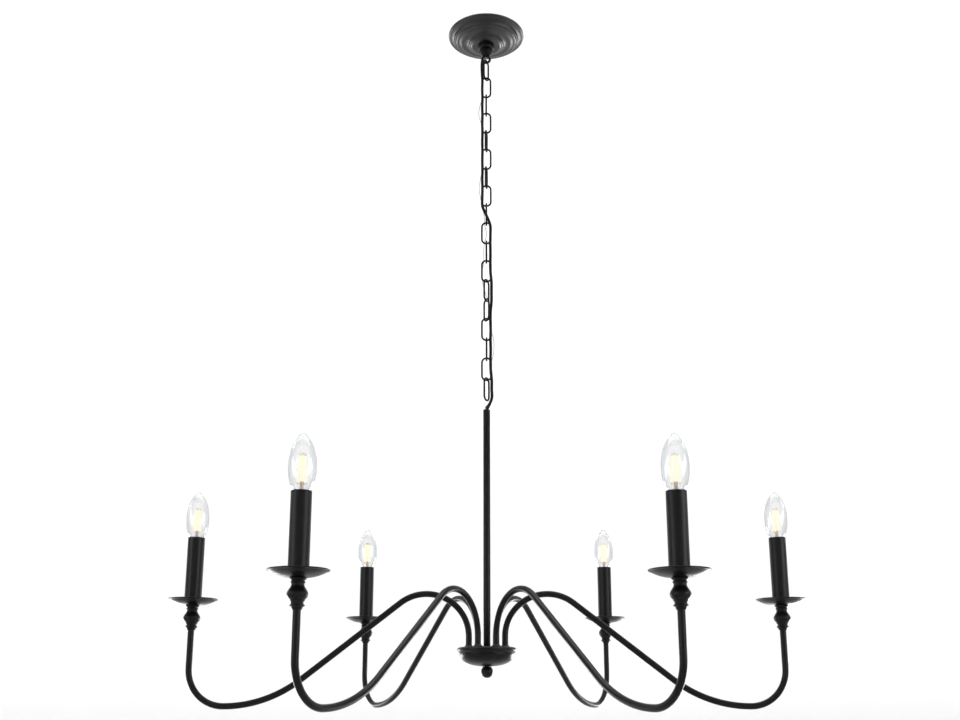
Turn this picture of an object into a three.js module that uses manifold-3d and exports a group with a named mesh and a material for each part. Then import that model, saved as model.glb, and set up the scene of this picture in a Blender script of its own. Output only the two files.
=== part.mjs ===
// A six-arm candle chandelier: a stepped ceiling canopy, an oval-link chain with its supply cord,
// a stem, and a hub that six bent tube arms rise from, each ending in a turned cup, a dished
// bobeche, a candle sleeve and a candle bulb.
// Millimetres, +Z up. The origin is on the ceiling, on the axis of the chain; all of it hangs below.
import * as THREE from 'three';
import { mergeVertices } from 'three/addons/utils/BufferGeometryUtils.js';
import Module from 'manifold-3d';

const wasm = await Module();
wasm.setup();

// ---- fits -----------------------------------------------------------------------------------
const TOUCH = 0.3; // the gap left between two pieces that rest on each other
const SLIP = 0.4; // the gap all round a piece that slides through another

// ---- ceiling fixing -------------------------------------------------------------------------
const STRAP_LENGTH = 100;
const STRAP_WIDTH = 20;
const STRAP_THICKNESS = 2;
const STRAP_SCREW_SPACING = 70; // between the slots that take the outlet box's screws
const STRAP_SLOT_LENGTH = 12;
const STRAP_SLOT_WIDTH = 4.5;
const NIPPLE_DIAMETER = 10;
const NIPPLE_BORE = 8;

// ---- canopy ---------------------------------------------------------------------------------
const CANOPY_RADIUS = 65;
const CANOPY_WALL = 1.2;
const CANOPY_STEPS = [
  // how far each turned step stands in from the rim, and how far below the ceiling it lies
  [0, 3.4],
  [1.9, 4.9],
  [7.9, 6.2],
  [9.6, 8.1],
  [10.2, 11.1],
  [14.3, 13.4],
  [22.4, 15.4],
  [33.4, 16.9],
  [35.6, 19.8],
  [40, 21.6],
];
const BOSS_DEPTH = 22; // the flat middle of the canopy, below the ceiling

// ---- screw collar and its loop --------------------------------------------------------------
const COLLAR_RADIUS = 13.8;
const COLLAR_HEIGHT = 6;
const LOOP_NECK_RADIUS = 9.3;
const LOOP_NECK_DROP = 12; // how far the neck shows below the collar
const LOOP_WIRE = 4.2; // the bar that the loop's eye is made of
const LOOP_WIDTH = 17;

// ---- chain ----------------------------------------------------------------------------------
const LINK_WIRE = 3;
const LINK_WIDTH = 18;
const LINK_LENGTH = 40;
// How far each link is turned about the chain from the one above it, in degrees. A chain that
// hangs by itself is never square all the way down.
const LINK_TURNS = [60, 120, 90, 90, 80, 100, 80, 100, 90, 90, 90, 90, 60, 60, 60, 90, 90, 60];

// ---- stem -----------------------------------------------------------------------------------
const STEM_RADIUS = 5.5;
const STEM_WALL = 1.1;
const STEM_LENGTH = 370; // from the hub plate to the cap on its top
const EYE_WIRE = 3.4; // the ring on top of the stem
const EYE_WIDTH = 17;
const EYE_NECK_RADIUS = 6;
const EYE_NECK_HEIGHT = 2;
const CAP_RADIUS = 8.1;
const CAP_HEIGHT = 4;
const CAP_RECESS = 2; // how far the tube goes up into the cap

// ---- hub ------------------------------------------------------------------------------------
const PLATE_RADIUS = 45.2;
const PLATE_HEIGHT = 9;
const PLATE_WEB = 3.4; // the plate's thickness inside its rolled edge
const BOWL_RADIUS = 41.4;
const BOWL_DEPTH = 19.4;
const BOWL_WALL = 1.4;
const TIE_ROD_RADIUS = 3; // runs from the plate down to the finial
const FINIAL_RADIUS = 9.2;
const FINIAL_NECK_RADIUS = 6.9;
const FINIAL_NECK_HEIGHT = 1.4;
const FINIAL_THREAD_DEPTH = 10;

// ---- arms -----------------------------------------------------------------------------------
const ARM_COUNT = 6;
const ARM_RADIUS = 4.75;
const ARM_ROOT_CIRCLE = 27.5; // how far the arms' roots stand from the axis
const ARM_REACH = 450; // how far the candles stand from the axis
const ARM_STRAIGHT_RISE = 15; // the upright start, above the hub plate
const ARCH_RADIUS = 65;
const ARM_SLOPE = THREE.MathUtils.degToRad(37.7);
const SWEEP_RADIUS = 188; // the long curve that levels the arm out
const END_BEND_RADIUS = 55; // the tight bend up to the candle
const ARM_TAIL = 5; // the threaded end below the hub plate

// ---- candle ---------------------------------------------------------------------------------
const DISH_RIM_HEIGHT = 72; // the bobeche's rim above the hub plate
const DISH_RADIUS = 38;
const DISH_DEPTH = 9.5;
const DISH_WALL = 1.1;
const CUP_HEIGHT = 37.2;
const CUP_SOCKET_DEPTH = 8; // how far the arm's end goes up into the cup
const CUP_SPIGOT_RADIUS = 5;
const CUP_SPIGOT_HEIGHT = 7;
const CUP_WIRE_BORE = 2.6;
const SLEEVE_RADIUS = 12.8;
const SLEEVE_WALL = 1.2;
const SLEEVE_LENGTH = 102;
const BULB_RADIUS = 17.5;
const BULB_SHOWN = 71.7; // how much of the bulb stands out of the sleeve
const BULB_BASE_RADIUS = 6.6;
const BULB_BASE_LENGTH = 21;
const BULB_HIDDEN = 30; // how much of the bulb is down in the sleeve

// ---- supply cord and ground wire ------------------------------------------------------------
const CORD_RADIUS = 2.4;
const GROUND_RADIUS = 0.6;
const CROSSING_LINK = 9; // the link that the cord goes through, from one side to the other

// ---- colours --------------------------------------------------------------------------------
const blackPaint = new THREE.MeshStandardMaterial({ color: 0x1b1b1c, roughness: 0.5, metalness: 0.4 });
const zincPlate = new THREE.MeshStandardMaterial({ color: 0xa9aaa6, roughness: 0.4, metalness: 0.9 });
const clearGlass = new THREE.MeshStandardMaterial({ color: 0xf3f1ea, roughness: 0.05, metalness: 0 });
const cordJacket = new THREE.MeshStandardMaterial({ color: 0x262424, roughness: 0.6, metalness: 0 });
const clearJacket = new THREE.MeshStandardMaterial({ color: 0xb9b4ab, roughness: 0.3, metalness: 0.2 });

const fixture = new THREE.Group();

function place(name, geometry, material, parent = fixture) {
  const mesh = new THREE.Mesh(geometry, material);
  mesh.name = name;
  parent.add(mesh);
  return mesh;
}

// ---- ways of making a shape -----------------------------------------------------------------

// A solid turned about the Z axis from [radius, height] points that run up the outside.
function turned(points, sides) {
  const profile = points.map(([radius, height]) => new THREE.Vector2(radius, height));
  const geometry = new THREE.LatheGeometry(profile, sides);
  geometry.rotateX(Math.PI / 2);
  return facingOut(geometry);
}

// The same geometry with its faces pointing outwards, whichever way its outline ran.
function facingOut(geometry) {
  const merged = welded(geometry);
  const { array } = merged.attributes.position;
  const { array: index } = merged.index;
  const corner = (i) => new THREE.Vector3().fromArray(array, 3 * i);
  let volume = 0;
  for (let i = 0; i < index.length; i += 3) {
    const [a, b, c] = [corner(index[i]), corner(index[i + 1]), corner(index[i + 2])];
    volume += a.dot(b.cross(c));
  }
  if (volume < 0) {
    for (let i = 0; i < index.length; i += 3) {
      [index[i], index[i + 1]] = [index[i + 1], index[i]];
    }
  }
  return merged;
}

function welded(geometry) {
  const bare = geometry.clone();
  bare.deleteAttribute('normal');
  bare.deleteAttribute('uv');
  return mergeVertices(bare, 1e-4);
}

function toSolid(geometry) {
  const merged = facingOut(geometry);
  return new wasm.Manifold(
    new wasm.Mesh({
      numProp: 3,
      vertProperties: new Float32Array(merged.attributes.position.array),
      triVerts: new Uint32Array(merged.index.array),
    }),
  );
}

function fromSolid(solid) {
  const { vertProperties, triVerts } = solid.getMesh();
  const geometry = new THREE.BufferGeometry();
  geometry.setAttribute('position', new THREE.BufferAttribute(vertProperties, 3));
  geometry.setIndex(new THREE.BufferAttribute(triVerts, 1));
  return geometry;
}

// A round bar along Z between two heights.
function bar(radius, bottom, top, sides = 16) {
  const geometry = new THREE.CylinderGeometry(radius, radius, top - bottom, sides);
  geometry.rotateX(Math.PI / 2);
  geometry.translate(0, 0, (top + bottom) / 2);
  return geometry;
}

// A closed ring of round bar in the XZ plane, stretched along Z into an oval with straight sides.
// It is centred on the origin. Width and height are measured outside the bar.
function ovalRing(width, height, wire, steps, sides) {
  const halfStep = Math.PI / steps;
  const radius = (width - wire) / 2 / Math.cos(halfStep);
  const geometry = new THREE.TorusGeometry(radius, wire / 2, sides, steps);
  geometry.rotateZ(halfStep);
  const stretch = (height - wire) / 2 - radius;
  const { array } = geometry.attributes.position;
  for (let i = 0; i < array.length / 3; i += 1) {
    const turn = ((i % (steps + 1)) / steps) * 2 * Math.PI + halfStep;
    array[3 * i + 1] += Math.sin(turn) > 0 ? stretch : -stretch;
  }
  geometry.rotateX(Math.PI / 2);
  return facingOut(geometry);
}

// A path given by its own stations, so that straight runs take one step and bends take several.
class StationPath extends THREE.Curve {
  constructor(points) {
    super();
    this.points = points;
  }

  getSpacedPoints() {
    return this.points;
  }

  computeFrenetFrames() {
    const { points } = this;
    const tangents = points.map((point, i) => {
      const before = points[Math.max(i - 1, 0)];
      const after = points[Math.min(i + 1, points.length - 1)];
      const came = new THREE.Vector3().subVectors(point, before).normalize();
      const goes = new THREE.Vector3().subVectors(after, point).normalize();
      return came.add(goes).normalize();
    });
    const seed = Math.abs(tangents[0].y) < 0.9 ? new THREE.Vector3(0, 1, 0) : new THREE.Vector3(1, 0, 0);
    const normals = [];
    const binormals = [];
    let normal = seed.cross(tangents[0]).normalize();
    tangents.forEach((tangent) => {
      const along = tangent.clone().multiplyScalar(normal.dot(tangent));
      normal = normal.clone().sub(along).normalize();
      normals.push(normal);
      binormals.push(new THREE.Vector3().crossVectors(tangent, normal));
    });
    return { tangents, normals, binormals };
  }
}

// A round rod along stations.
function rod(points, radius, sides) {
  const section = new THREE.Shape();
  for (let i = 0; i < sides; i += 1) {
    const turn = (2 * Math.PI * i) / sides;
    const corner = [radius * Math.cos(turn), radius * Math.sin(turn)];
    if (i === 0) {
      section.moveTo(...corner);
    } else {
      section.lineTo(...corner);
    }
  }
  section.closePath();
  const extrudePath = new StationPath(points);
  return facingOut(
    new THREE.ExtrudeGeometry(section, { steps: points.length - 1, extrudePath, bevelEnabled: false }),
  );
}

// Stations on an arc in the XZ plane, from one angle to another, ends included.
function arc(centreX, centreZ, radius, from, to, steps) {
  const stations = [];
  for (let i = 0; i <= steps; i += 1) {
    const turn = from + ((to - from) * i) / steps;
    stations.push(
      new THREE.Vector3(centreX + radius * Math.cos(turn), 0, centreZ + radius * Math.sin(turn)),
    );
  }
  return stations;
}

// ---- ceiling fixing -------------------------------------------------------------------------
const strapBottom = -STRAP_THICKNESS;
const bossBottom = -BOSS_DEPTH;
const collarTop = bossBottom - TOUCH;
const collarBottom = collarTop - COLLAR_HEIGHT;
const loopNeckBottom = collarBottom - LOOP_NECK_DROP;
const loopNeckTop = bossBottom + CANOPY_WALL + 6;

{
  const halfLength = STRAP_LENGTH / 2;
  const halfWidth = STRAP_WIDTH / 2;
  const outline = new THREE.Shape();
  outline.moveTo(-halfLength, -halfWidth);
  outline.lineTo(halfLength, -halfWidth);
  outline.lineTo(halfLength, halfWidth);
  outline.lineTo(-halfLength, halfWidth);
  outline.closePath();
  for (const side of [-1, 1]) {
    const slotRadius = STRAP_SLOT_WIDTH / 2;
    const centre = (side * STRAP_SCREW_SPACING) / 2;
    const reach = STRAP_SLOT_LENGTH / 2 - slotRadius;
    const slot = new THREE.Path();
    slot.absarc(centre + reach, 0, slotRadius, -Math.PI / 2, Math.PI / 2, false);
    slot.absarc(centre - reach, 0, slotRadius, Math.PI / 2, (3 * Math.PI) / 2, false);
    outline.holes.push(slot);
  }
  const hole = new THREE.Path();
  hole.absarc(0, 0, NIPPLE_DIAMETER / 2 + TOUCH, 0, 2 * Math.PI, false);
  outline.holes.push(hole);
  const strap = new THREE.ExtrudeGeometry(outline, {
    depth: STRAP_THICKNESS,
    bevelEnabled: false,
    curveSegments: 6,
  });
  strap.translate(0, 0, strapBottom);
  place('mounting_strap', facingOut(strap), zincPlate);
}

// The threaded nipple runs from the strap down into the loop's neck. The cord comes up inside it.
const nippleTop = -TOUCH;
const nippleBottom = loopNeckTop + TOUCH;
place(
  'canopy_nipple',
  turned(
    [
      [NIPPLE_BORE / 2, nippleBottom],
      [NIPPLE_DIAMETER / 2, nippleBottom],
      [NIPPLE_DIAMETER / 2, nippleTop],
      [NIPPLE_BORE / 2, nippleTop],
      [NIPPLE_BORE / 2, nippleBottom],
    ],
    16,
  ),
  zincPlate,
);

// ---- canopy ---------------------------------------------------------------------------------
// A spun shell. Its inside follows its outside, one wall thickness in, and it is open to the
// ceiling. The middle has the hole that the loop's neck comes down through.
{
  const hole = LOOP_NECK_RADIUS + SLIP;
  const outside = CANOPY_STEPS.map(([inset, drop]) => [CANOPY_RADIUS - inset, -drop]);
  const bossEdge = CANOPY_RADIUS - CANOPY_STEPS.at(-1)[0] - 1.6;
  outside.unshift([CANOPY_RADIUS, 0]);
  outside.push([bossEdge, bossBottom], [hole, bossBottom]);
  const inside = CANOPY_STEPS.map(([inset, drop]) => [
    CANOPY_RADIUS - inset - CANOPY_WALL,
    CANOPY_WALL - drop,
  ]);
  inside.unshift([CANOPY_RADIUS - CANOPY_WALL, 0]);
  inside.push([bossEdge, bossBottom + CANOPY_WALL], [hole, bossBottom + CANOPY_WALL]);
  place('canopy', turned([...outside, ...inside.reverse(), outside[0]], 24), blackPaint);
}

// ---- screw collar and its loop --------------------------------------------------------------
place(
  'collar_ring',
  turned(
    [
      [LOOP_NECK_RADIUS + SLIP, collarBottom],
      [COLLAR_RADIUS - 1, collarBottom],
      [COLLAR_RADIUS, collarBottom + 1],
      [COLLAR_RADIUS, collarTop - 1.4],
      [COLLAR_RADIUS - 2, collarTop],
      [LOOP_NECK_RADIUS + SLIP, collarTop],
      [LOOP_NECK_RADIUS + SLIP, collarBottom],
    ],
    24,
  ),
  blackPaint,
);

const eyeMiddle = loopNeckBottom - LOOP_WIDTH / 2 + LOOP_WIRE * 0.6;
const eyeBar = eyeMiddle - LOOP_WIDTH / 2 + LOOP_WIRE / 2; // the bar that link 1 hangs on

// ---- chain ----------------------------------------------------------------------------------
// Each link hangs in the one above: its top crown lies on the bottom crown of the link above,
// which its own plane crosses.
const linkSpan = LINK_LENGTH - LINK_WIRE; // between the middles of a link's two crowns
const linkPitch = linkSpan - LINK_WIRE - TOUCH;
const firstCrown = eyeBar + (LOOP_WIRE + LINK_WIRE) / 2 + TOUCH;
const linkCount = LINK_TURNS.length;
const linkMiddle = (i) => firstCrown - linkSpan / 2 - i * linkPitch;
let linkTurn = 0;
LINK_TURNS.forEach((turn, i) => {
  linkTurn += THREE.MathUtils.degToRad(turn);
  const name = `chain_link_${String(i + 1).padStart(2, '0')}`;
  const link = place(name, ovalRing(LINK_WIDTH, LINK_LENGTH, LINK_WIRE, 16, 6), blackPaint);
  link.position.z = linkMiddle(i);
  link.rotation.z = linkTurn;
});
const lastCrown = firstCrown - linkSpan - (linkCount - 1) * linkPitch;

// ---- the heights of the stem ----------------------------------------------------------------
const eyeTopBar = lastCrown + (LINK_WIRE + EYE_WIRE) / 2 + TOUCH;
const stemEyeMiddle = eyeTopBar - (EYE_WIDTH - EYE_WIRE) / 2;
const neckTop = stemEyeMiddle - EYE_WIDTH / 2 + EYE_WIRE * 0.7;
const capTop = stemEyeMiddle - EYE_WIDTH / 2 - EYE_NECK_HEIGHT;
const capBottom = capTop - CAP_HEIGHT;
const stemTop = capBottom + CAP_RECESS - TOUCH;
const plateTop = capBottom - STEM_LENGTH;

// ---- supply cord and ground wire ------------------------------------------------------------
// The cord comes down inside the nipple, leaves the loop's neck at the back, and goes down one
// side of the chain. It goes through one link to the other side, and enters the stem's cap at the
// back. Its lane is far enough behind the links' own planes to clear their crowns.
const wireOffset = (LINK_WIDTH - LINK_WIRE) / 2;
const cordLane = LINK_WIRE / 2 + CORD_RADIUS + 2 * TOUCH;
const groundLane = cordLane + CORD_RADIUS + GROUND_RADIUS + 2 * TOUCH;
const at = (x, y, z) => new THREE.Vector3(x, y, z);

function cordLine() {
  const stations = [
    at(-0.8, 0, -1),
    at(-0.8, 0, collarTop + 2),
    at(-0.9, 0.6, collarBottom + 1),
    at(-5.2, 5.4, loopNeckBottom + 3.4),
    at(-6.6, 6.9, eyeMiddle + 3),
    at(-wireOffset, cordLane + 1, eyeBar - 4),
  ];
  for (let i = 0; i < linkCount; i += 1) {
    const number = i + 1;
    const side = number < CROSSING_LINK ? -1 : 1;
    const wide = number === 13 || number === linkCount ? 1.1 : 0.9;
    const middle = number === CROSSING_LINK ? [0, cordLane * 0.62] : [side * wide * wireOffset, cordLane];
    if (i > 0) {
      stations.push(at(...middle, linkMiddle(i)));
    }
    if (number < linkCount) {
      const nextWide = number === 12 || number === 13 || number === linkCount - 1 ? 1.1 : 0.86;
      stations.push(at(side * nextWide * wireOffset, cordLane, linkMiddle(i) - linkPitch / 2));
    }
  }
  stations.push(
    at(wireOffset * 1.14, cordLane + 0.6, lastCrown + 6),
    at(wireOffset * 0.72, cordLane + 1.2, stemEyeMiddle),
    at(2, 2.9, capTop + 2.4),
    at(0.6, 0.6, stemTop + 1.4),
    at(0.6, 0.3, stemTop - 14),
  );
  return new THREE.CatmullRomCurve3(stations, false, 'centripetal');
}

// The thin ground wire keeps behind the cord, but stands away from it in a few slack loops.
function groundLine() {
  const between = (number) => linkMiddle(number - 1) - linkPitch / 2;
  const beside = (number) => linkMiddle(number - 1);
  const stations = [
    at(2.9, 0, -1),
    at(2.9, 0.3, collarTop + 2),
    at(1.4, 3.6, collarBottom + 1),
    at(-1.4, 8.4, loopNeckBottom + 3),
    at(-3.4, 10.2, eyeMiddle),
    at(-5.8, groundLane + 1, beside(1)),
    at(-6.4, groundLane, between(1)),
    at(-7, groundLane, beside(2)),
    at(-7.4, groundLane, between(2)),
    at(-12, groundLane - 2, beside(3) - 3),
    at(-12.4, groundLane - 2, between(3)),
    at(-7.6, groundLane, beside(4)),
    at(-6.4, groundLane, beside(5)),
    at(-7, groundLane, beside(6)),
    at(-7.4, groundLane, between(6)),
    at(-11.6, groundLane - 2, between(7) + 6),
    at(-12, groundLane - 2, between(7) - 4),
    at(-7.6, groundLane, between(8) + 6),
    at(-3.6, groundLane, beside(9)),
    at(-3, 3.8, between(9)),
    at(0.4, 3.6, beside(10)),
    at(-3.4, 4, between(10)),
    at(-4.6, 3, beside(11)),
    at(-4.4, 4, between(11)),
    at(-7.4, 3.2, beside(12)),
    at(-6.4, 6.4, between(12)),
    at(-2, 11, beside(13)),
    at(4, 11, between(13)),
    at(7, groundLane, beside(14)),
    at(6.8, groundLane, beside(15)),
    at(10.6, groundLane - 1, between(15) + 8),
    at(12, groundLane - 2, beside(16)),
    at(7.4, groundLane, beside(17) + 8),
    at(7, groundLane, beside(18)),
    at(7.8, groundLane + 0.6, lastCrown + 5),
    at(3.4, groundLane + 0.4, stemEyeMiddle),
    at(-1.9, 4.6, capTop + 2.4),
    at(-2.5, 2, stemTop + 0.8),
    at(-2.5, 1.8, stemTop - 14),
  ];
  return new THREE.CatmullRomCurve3(stations, false, 'centripetal');
}

const cordStations = cordLine().getSpacedPoints(66);
const groundStations = groundLine().getSpacedPoints(70);
place('supply_cord', rod(cordStations, CORD_RADIUS, 8), cordJacket);
place('ground_wire', rod(groundStations, GROUND_RADIUS, 4), clearJacket);

// The same two routes, wide enough to cut the wireways with.
const wireways = () => [
  toSolid(rod(cordStations, CORD_RADIUS + SLIP, 10)),
  toSolid(rod(groundStations, GROUND_RADIUS + SLIP, 6)),
];

{
  const neck = toSolid(
    turned(
      [
        [0, loopNeckBottom],
        [LOOP_NECK_RADIUS - 3.4, loopNeckBottom],
        [LOOP_NECK_RADIUS - 0.9, loopNeckBottom + 1.6],
        [LOOP_NECK_RADIUS - 0.5, loopNeckBottom + 3.4],
        [LOOP_NECK_RADIUS - 1.1, loopNeckBottom + 4.2],
        [LOOP_NECK_RADIUS - 0.3, loopNeckBottom + 5.2],
        [LOOP_NECK_RADIUS, collarBottom],
        [LOOP_NECK_RADIUS, loopNeckTop],
        [0, loopNeckTop],
      ],
      20,
    ),
  );
  const eye = ovalRing(LOOP_WIDTH, LOOP_WIDTH, LOOP_WIRE, 16, 8);
  eye.translate(0, 0, eyeMiddle);
  let loop = neck.add(toSolid(eye));
  loop = loop.subtract(toSolid(bar(NIPPLE_BORE / 2, collarBottom + 3, loopNeckTop + 1)));
  for (const wireway of wireways()) {
    loop = loop.subtract(wireway);
  }
  place('collar_loop', fromSolid(loop), blackPaint);
}

// ---- stem -----------------------------------------------------------------------------------
{
  const cap = toSolid(
    turned(
      [
        [0, capBottom + CAP_RECESS],
        [STEM_RADIUS + TOUCH, capBottom + CAP_RECESS],
        [STEM_RADIUS + TOUCH, capBottom],
        [CAP_RADIUS - 0.8, capBottom],
        [CAP_RADIUS, capBottom + 0.8],
        [CAP_RADIUS, capTop - 1.2],
        [EYE_NECK_RADIUS, capTop],
        [EYE_NECK_RADIUS, neckTop - 1],
        [EYE_NECK_RADIUS - 1, neckTop],
        [0, neckTop],
      ],
      20,
    ),
  );
  const eye = ovalRing(EYE_WIDTH, EYE_WIDTH, EYE_WIRE, 16, 8);
  eye.translate(0, 0, stemEyeMiddle);
  let loop = cap.add(toSolid(eye));
  for (const wireway of wireways()) {
    loop = loop.subtract(wireway);
  }
  place('stem_loop', fromSolid(loop), blackPaint);
}
// The tube stands on the hub plate. Its foot is reduced to the tie rod's size, which goes on down
// through the plate and the bowl to the finial.
const plateBottom = plateTop - PLATE_HEIGHT;
const bowlBottom = plateBottom - TOUCH - BOWL_DEPTH;
const tieRodBottom = bowlBottom - FINIAL_THREAD_DEPTH + 1.6;
const stemBore = STEM_RADIUS - STEM_WALL;
const rodBore = TIE_ROD_RADIUS - STEM_WALL;
place(
  'stem',
  turned(
    [
      [rodBore, tieRodBottom],
      [TIE_ROD_RADIUS, tieRodBottom],
      [TIE_ROD_RADIUS, plateTop + TOUCH],
      [STEM_RADIUS, plateTop + TOUCH],
      [STEM_RADIUS, stemTop],
      [stemBore, stemTop],
      [stemBore, plateTop + 6],
      [rodBore, plateTop + 4],
      [rodBore, tieRodBottom],
    ],
    16,
  ),
  blackPaint,
);

// ---- hub ------------------------------------------------------------------------------------
{
  const blank = toSolid(
    turned(
      [
        [0, plateTop - PLATE_WEB],
        [BOWL_RADIUS - BOWL_WALL - 3, plateTop - PLATE_WEB],
        [BOWL_RADIUS - BOWL_WALL - 2, plateBottom],
        [PLATE_RADIUS - 2.6, plateBottom],
        [PLATE_RADIUS - 0.7, plateBottom + 1.5],
        [PLATE_RADIUS, plateBottom + PLATE_HEIGHT * 0.5],
        [PLATE_RADIUS - 0.8, plateTop - 1.6],
        [PLATE_RADIUS - 3, plateTop],
        [0, plateTop],
      ],
      36,
    ),
  );
  let plate = blank.subtract(toSolid(bar(TIE_ROD_RADIUS + SLIP, plateBottom, plateTop + 1, 12)));
  for (let i = 0; i < ARM_COUNT; i += 1) {
    const turn = (2 * Math.PI * i) / ARM_COUNT;
    const hole = bar(ARM_RADIUS + SLIP, plateBottom, plateTop + 1, 12);
    hole.translate(ARM_ROOT_CIRCLE * Math.cos(turn), ARM_ROOT_CIRCLE * Math.sin(turn), 0);
    plate = plate.subtract(toSolid(hole));
  }
  place('hub_plate', fromSolid(plate), blackPaint);
}
{
  // The bowl's outline is a quarter of a rounded square, so its sides stay full.
  const fullness = 2.3;
  const rows = 6;
  const hole = TIE_ROD_RADIUS + SLIP;
  const bowlTop = plateBottom - TOUCH;
  const outline = (radius, depth) => {
    const points = [];
    for (let i = 0; i <= rows; i += 1) {
      const turn = ((Math.PI / 2) * i) / rows;
      const across = Math.max(radius * Math.cos(turn) ** (2 / fullness), hole);
      points.push([across, bowlTop - depth * Math.sin(turn) ** (2 / fullness)]);
    }
    return points;
  };
  const outside = outline(BOWL_RADIUS, BOWL_DEPTH);
  const inside = outline(BOWL_RADIUS - BOWL_WALL, BOWL_DEPTH - BOWL_WALL);
  place('hub_bowl', turned([...outside, ...inside.reverse(), outside[0]], 24), blackPaint);
}
{
  const top = bowlBottom - TOUCH;
  const middle = top - FINIAL_NECK_HEIGHT - Math.sqrt(FINIAL_RADIUS ** 2 - FINIAL_NECK_RADIUS ** 2);
  const start = Math.acos((top - FINIAL_NECK_HEIGHT - middle) / FINIAL_RADIUS);
  const rows = 6;
  const threadRadius = TIE_ROD_RADIUS + SLIP;
  const outline = [];
  for (let i = 0; i <= rows; i += 1) {
    const turn = start + ((Math.PI - start) * i) / rows;
    const across = i === rows ? 0 : FINIAL_RADIUS * Math.sin(turn);
    outline.push([across, middle + FINIAL_RADIUS * Math.cos(turn)]);
  }
  const points = [
    [0, top - FINIAL_THREAD_DEPTH],
    [threadRadius, top - FINIAL_THREAD_DEPTH],
    [threadRadius, top],
    [FINIAL_NECK_RADIUS, top],
    ...outline,
  ];
  place('finial', turned(points, 16), blackPaint);
}

// ---- arms and candles -----------------------------------------------------------------------
const dishRim = plateTop + DISH_RIM_HEIGHT;
const dishBottom = dishRim - DISH_DEPTH;
const cupTop = dishBottom - TOUCH;
const cupBottom = cupTop - CUP_HEIGHT;
const sleeveBottom = dishBottom + DISH_WALL + 0.7 + TOUCH;
const sleeveTop = sleeveBottom + SLEEVE_LENGTH;
const armEnd = cupBottom + CUP_SOCKET_DEPTH;
const wireHole = CUP_SPIGOT_RADIUS + SLIP;

// The arm's centre line in its own upright plane: up out of the hub, over the arch, straight down
// the slope, level at the foot of the long sweep, then round the end bend and up to the cup.
function armLine() {
  const archCentre = ARM_ROOT_CIRCLE + ARCH_RADIUS;
  const archHeight = plateTop + ARM_STRAIGHT_RISE;
  const footX = ARM_REACH - END_BEND_RADIUS;
  const slopeStartX = archCentre + ARCH_RADIUS * Math.sin(ARM_SLOPE);
  const slopeStartZ = archHeight + ARCH_RADIUS * Math.cos(ARM_SLOPE);
  const slopeEndX = footX - SWEEP_RADIUS * Math.sin(ARM_SLOPE);
  const slopeEndZ = slopeStartZ - (slopeEndX - slopeStartX) * Math.tan(ARM_SLOPE);
  const footZ = slopeEndZ - SWEEP_RADIUS * (1 - Math.cos(ARM_SLOPE));
  const down = (3 * Math.PI) / 2;
  return [
    new THREE.Vector3(ARM_ROOT_CIRCLE, 0, plateTop - PLATE_WEB - ARM_TAIL),
    ...arc(archCentre, archHeight, ARCH_RADIUS, Math.PI, Math.PI / 2 - ARM_SLOPE, 10),
    ...arc(footX, footZ + SWEEP_RADIUS, SWEEP_RADIUS, down - ARM_SLOPE, down, 5),
    ...arc(footX, footZ + END_BEND_RADIUS, END_BEND_RADIUS, down, 2 * Math.PI, 7).slice(1),
    new THREE.Vector3(ARM_REACH, 0, armEnd),
  ];
}

// A turned cup: a cone and a sharp ring over the arm's end, a ball between two necks, and a seat
// ring under the dish. Each row is the height above the cup's foot, as a share, and the radius.
const CUP_OUTLINE = [
  [0, ARM_RADIUS + 1.1],
  [0.08, 7],
  [0.12, 9.1],
  [0.15, 9.1],
  [0.19, 7.7],
  [0.26, 7.8],
  [0.41, 11.6],
  [0.49, 12.8],
  [0.56, 12],
  [0.71, 9.2],
  [0.79, 7.8],
  [0.86, 8],
  [0.9, 9.2],
  [0.95, 9.2],
  [1, 10],
];

function cup() {
  const socket = ARM_RADIUS + TOUCH;
  const outside = CUP_OUTLINE.map(([share, radius]) => [radius, cupBottom + share * CUP_HEIGHT]);
  const spigotTop = cupTop + CUP_SPIGOT_HEIGHT;
  return turned(
    [
      ...outside,
      [CUP_SPIGOT_RADIUS, cupTop],
      [CUP_SPIGOT_RADIUS, spigotTop],
      [CUP_WIRE_BORE, spigotTop],
      [CUP_WIRE_BORE, armEnd + 4],
      [socket, armEnd + TOUCH],
      [socket, cupBottom],
      outside[0],
    ],
    12,
  );
}

function bobeche() {
  const rows = 4;
  const points = [];
  for (let i = 0; i <= rows; i += 1) {
    const across = wireHole + ((DISH_RADIUS - wireHole) * i) / rows;
    points.push([across, dishRim - DISH_DEPTH * (1 - (across / DISH_RADIUS) ** 2.6)]);
  }
  const inside = points.map(([across, height], i) => [
    i === rows ? across - DISH_WALL / 2 : across,
    height + (i === rows ? DISH_WALL * 0.6 : DISH_WALL),
  ]);
  return turned([...points, ...inside.reverse(), points[0]], 18);
}

function sleeve() {
  const inner = SLEEVE_RADIUS - SLEEVE_WALL;
  return turned(
    [
      [inner, sleeveBottom],
      [SLEEVE_RADIUS, sleeveBottom],
      [SLEEVE_RADIUS, sleeveTop],
      [inner, sleeveTop],
      [inner, sleeveBottom],
    ],
    16,
  );
}

// Each row is the height above the sleeve's top as a share of the shown length, and the radius as
// a share of the widest.
const BULB_OUTLINE = [
  [0.03, 0.6],
  [0.08, 0.76],
  [0.2, 0.93],
  [0.33, 0.995],
  [0.46, 1],
  [0.6, 0.93],
  [0.73, 0.79],
  [0.85, 0.58],
  [0.94, 0.35],
  [0.985, 0.17],
];

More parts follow.
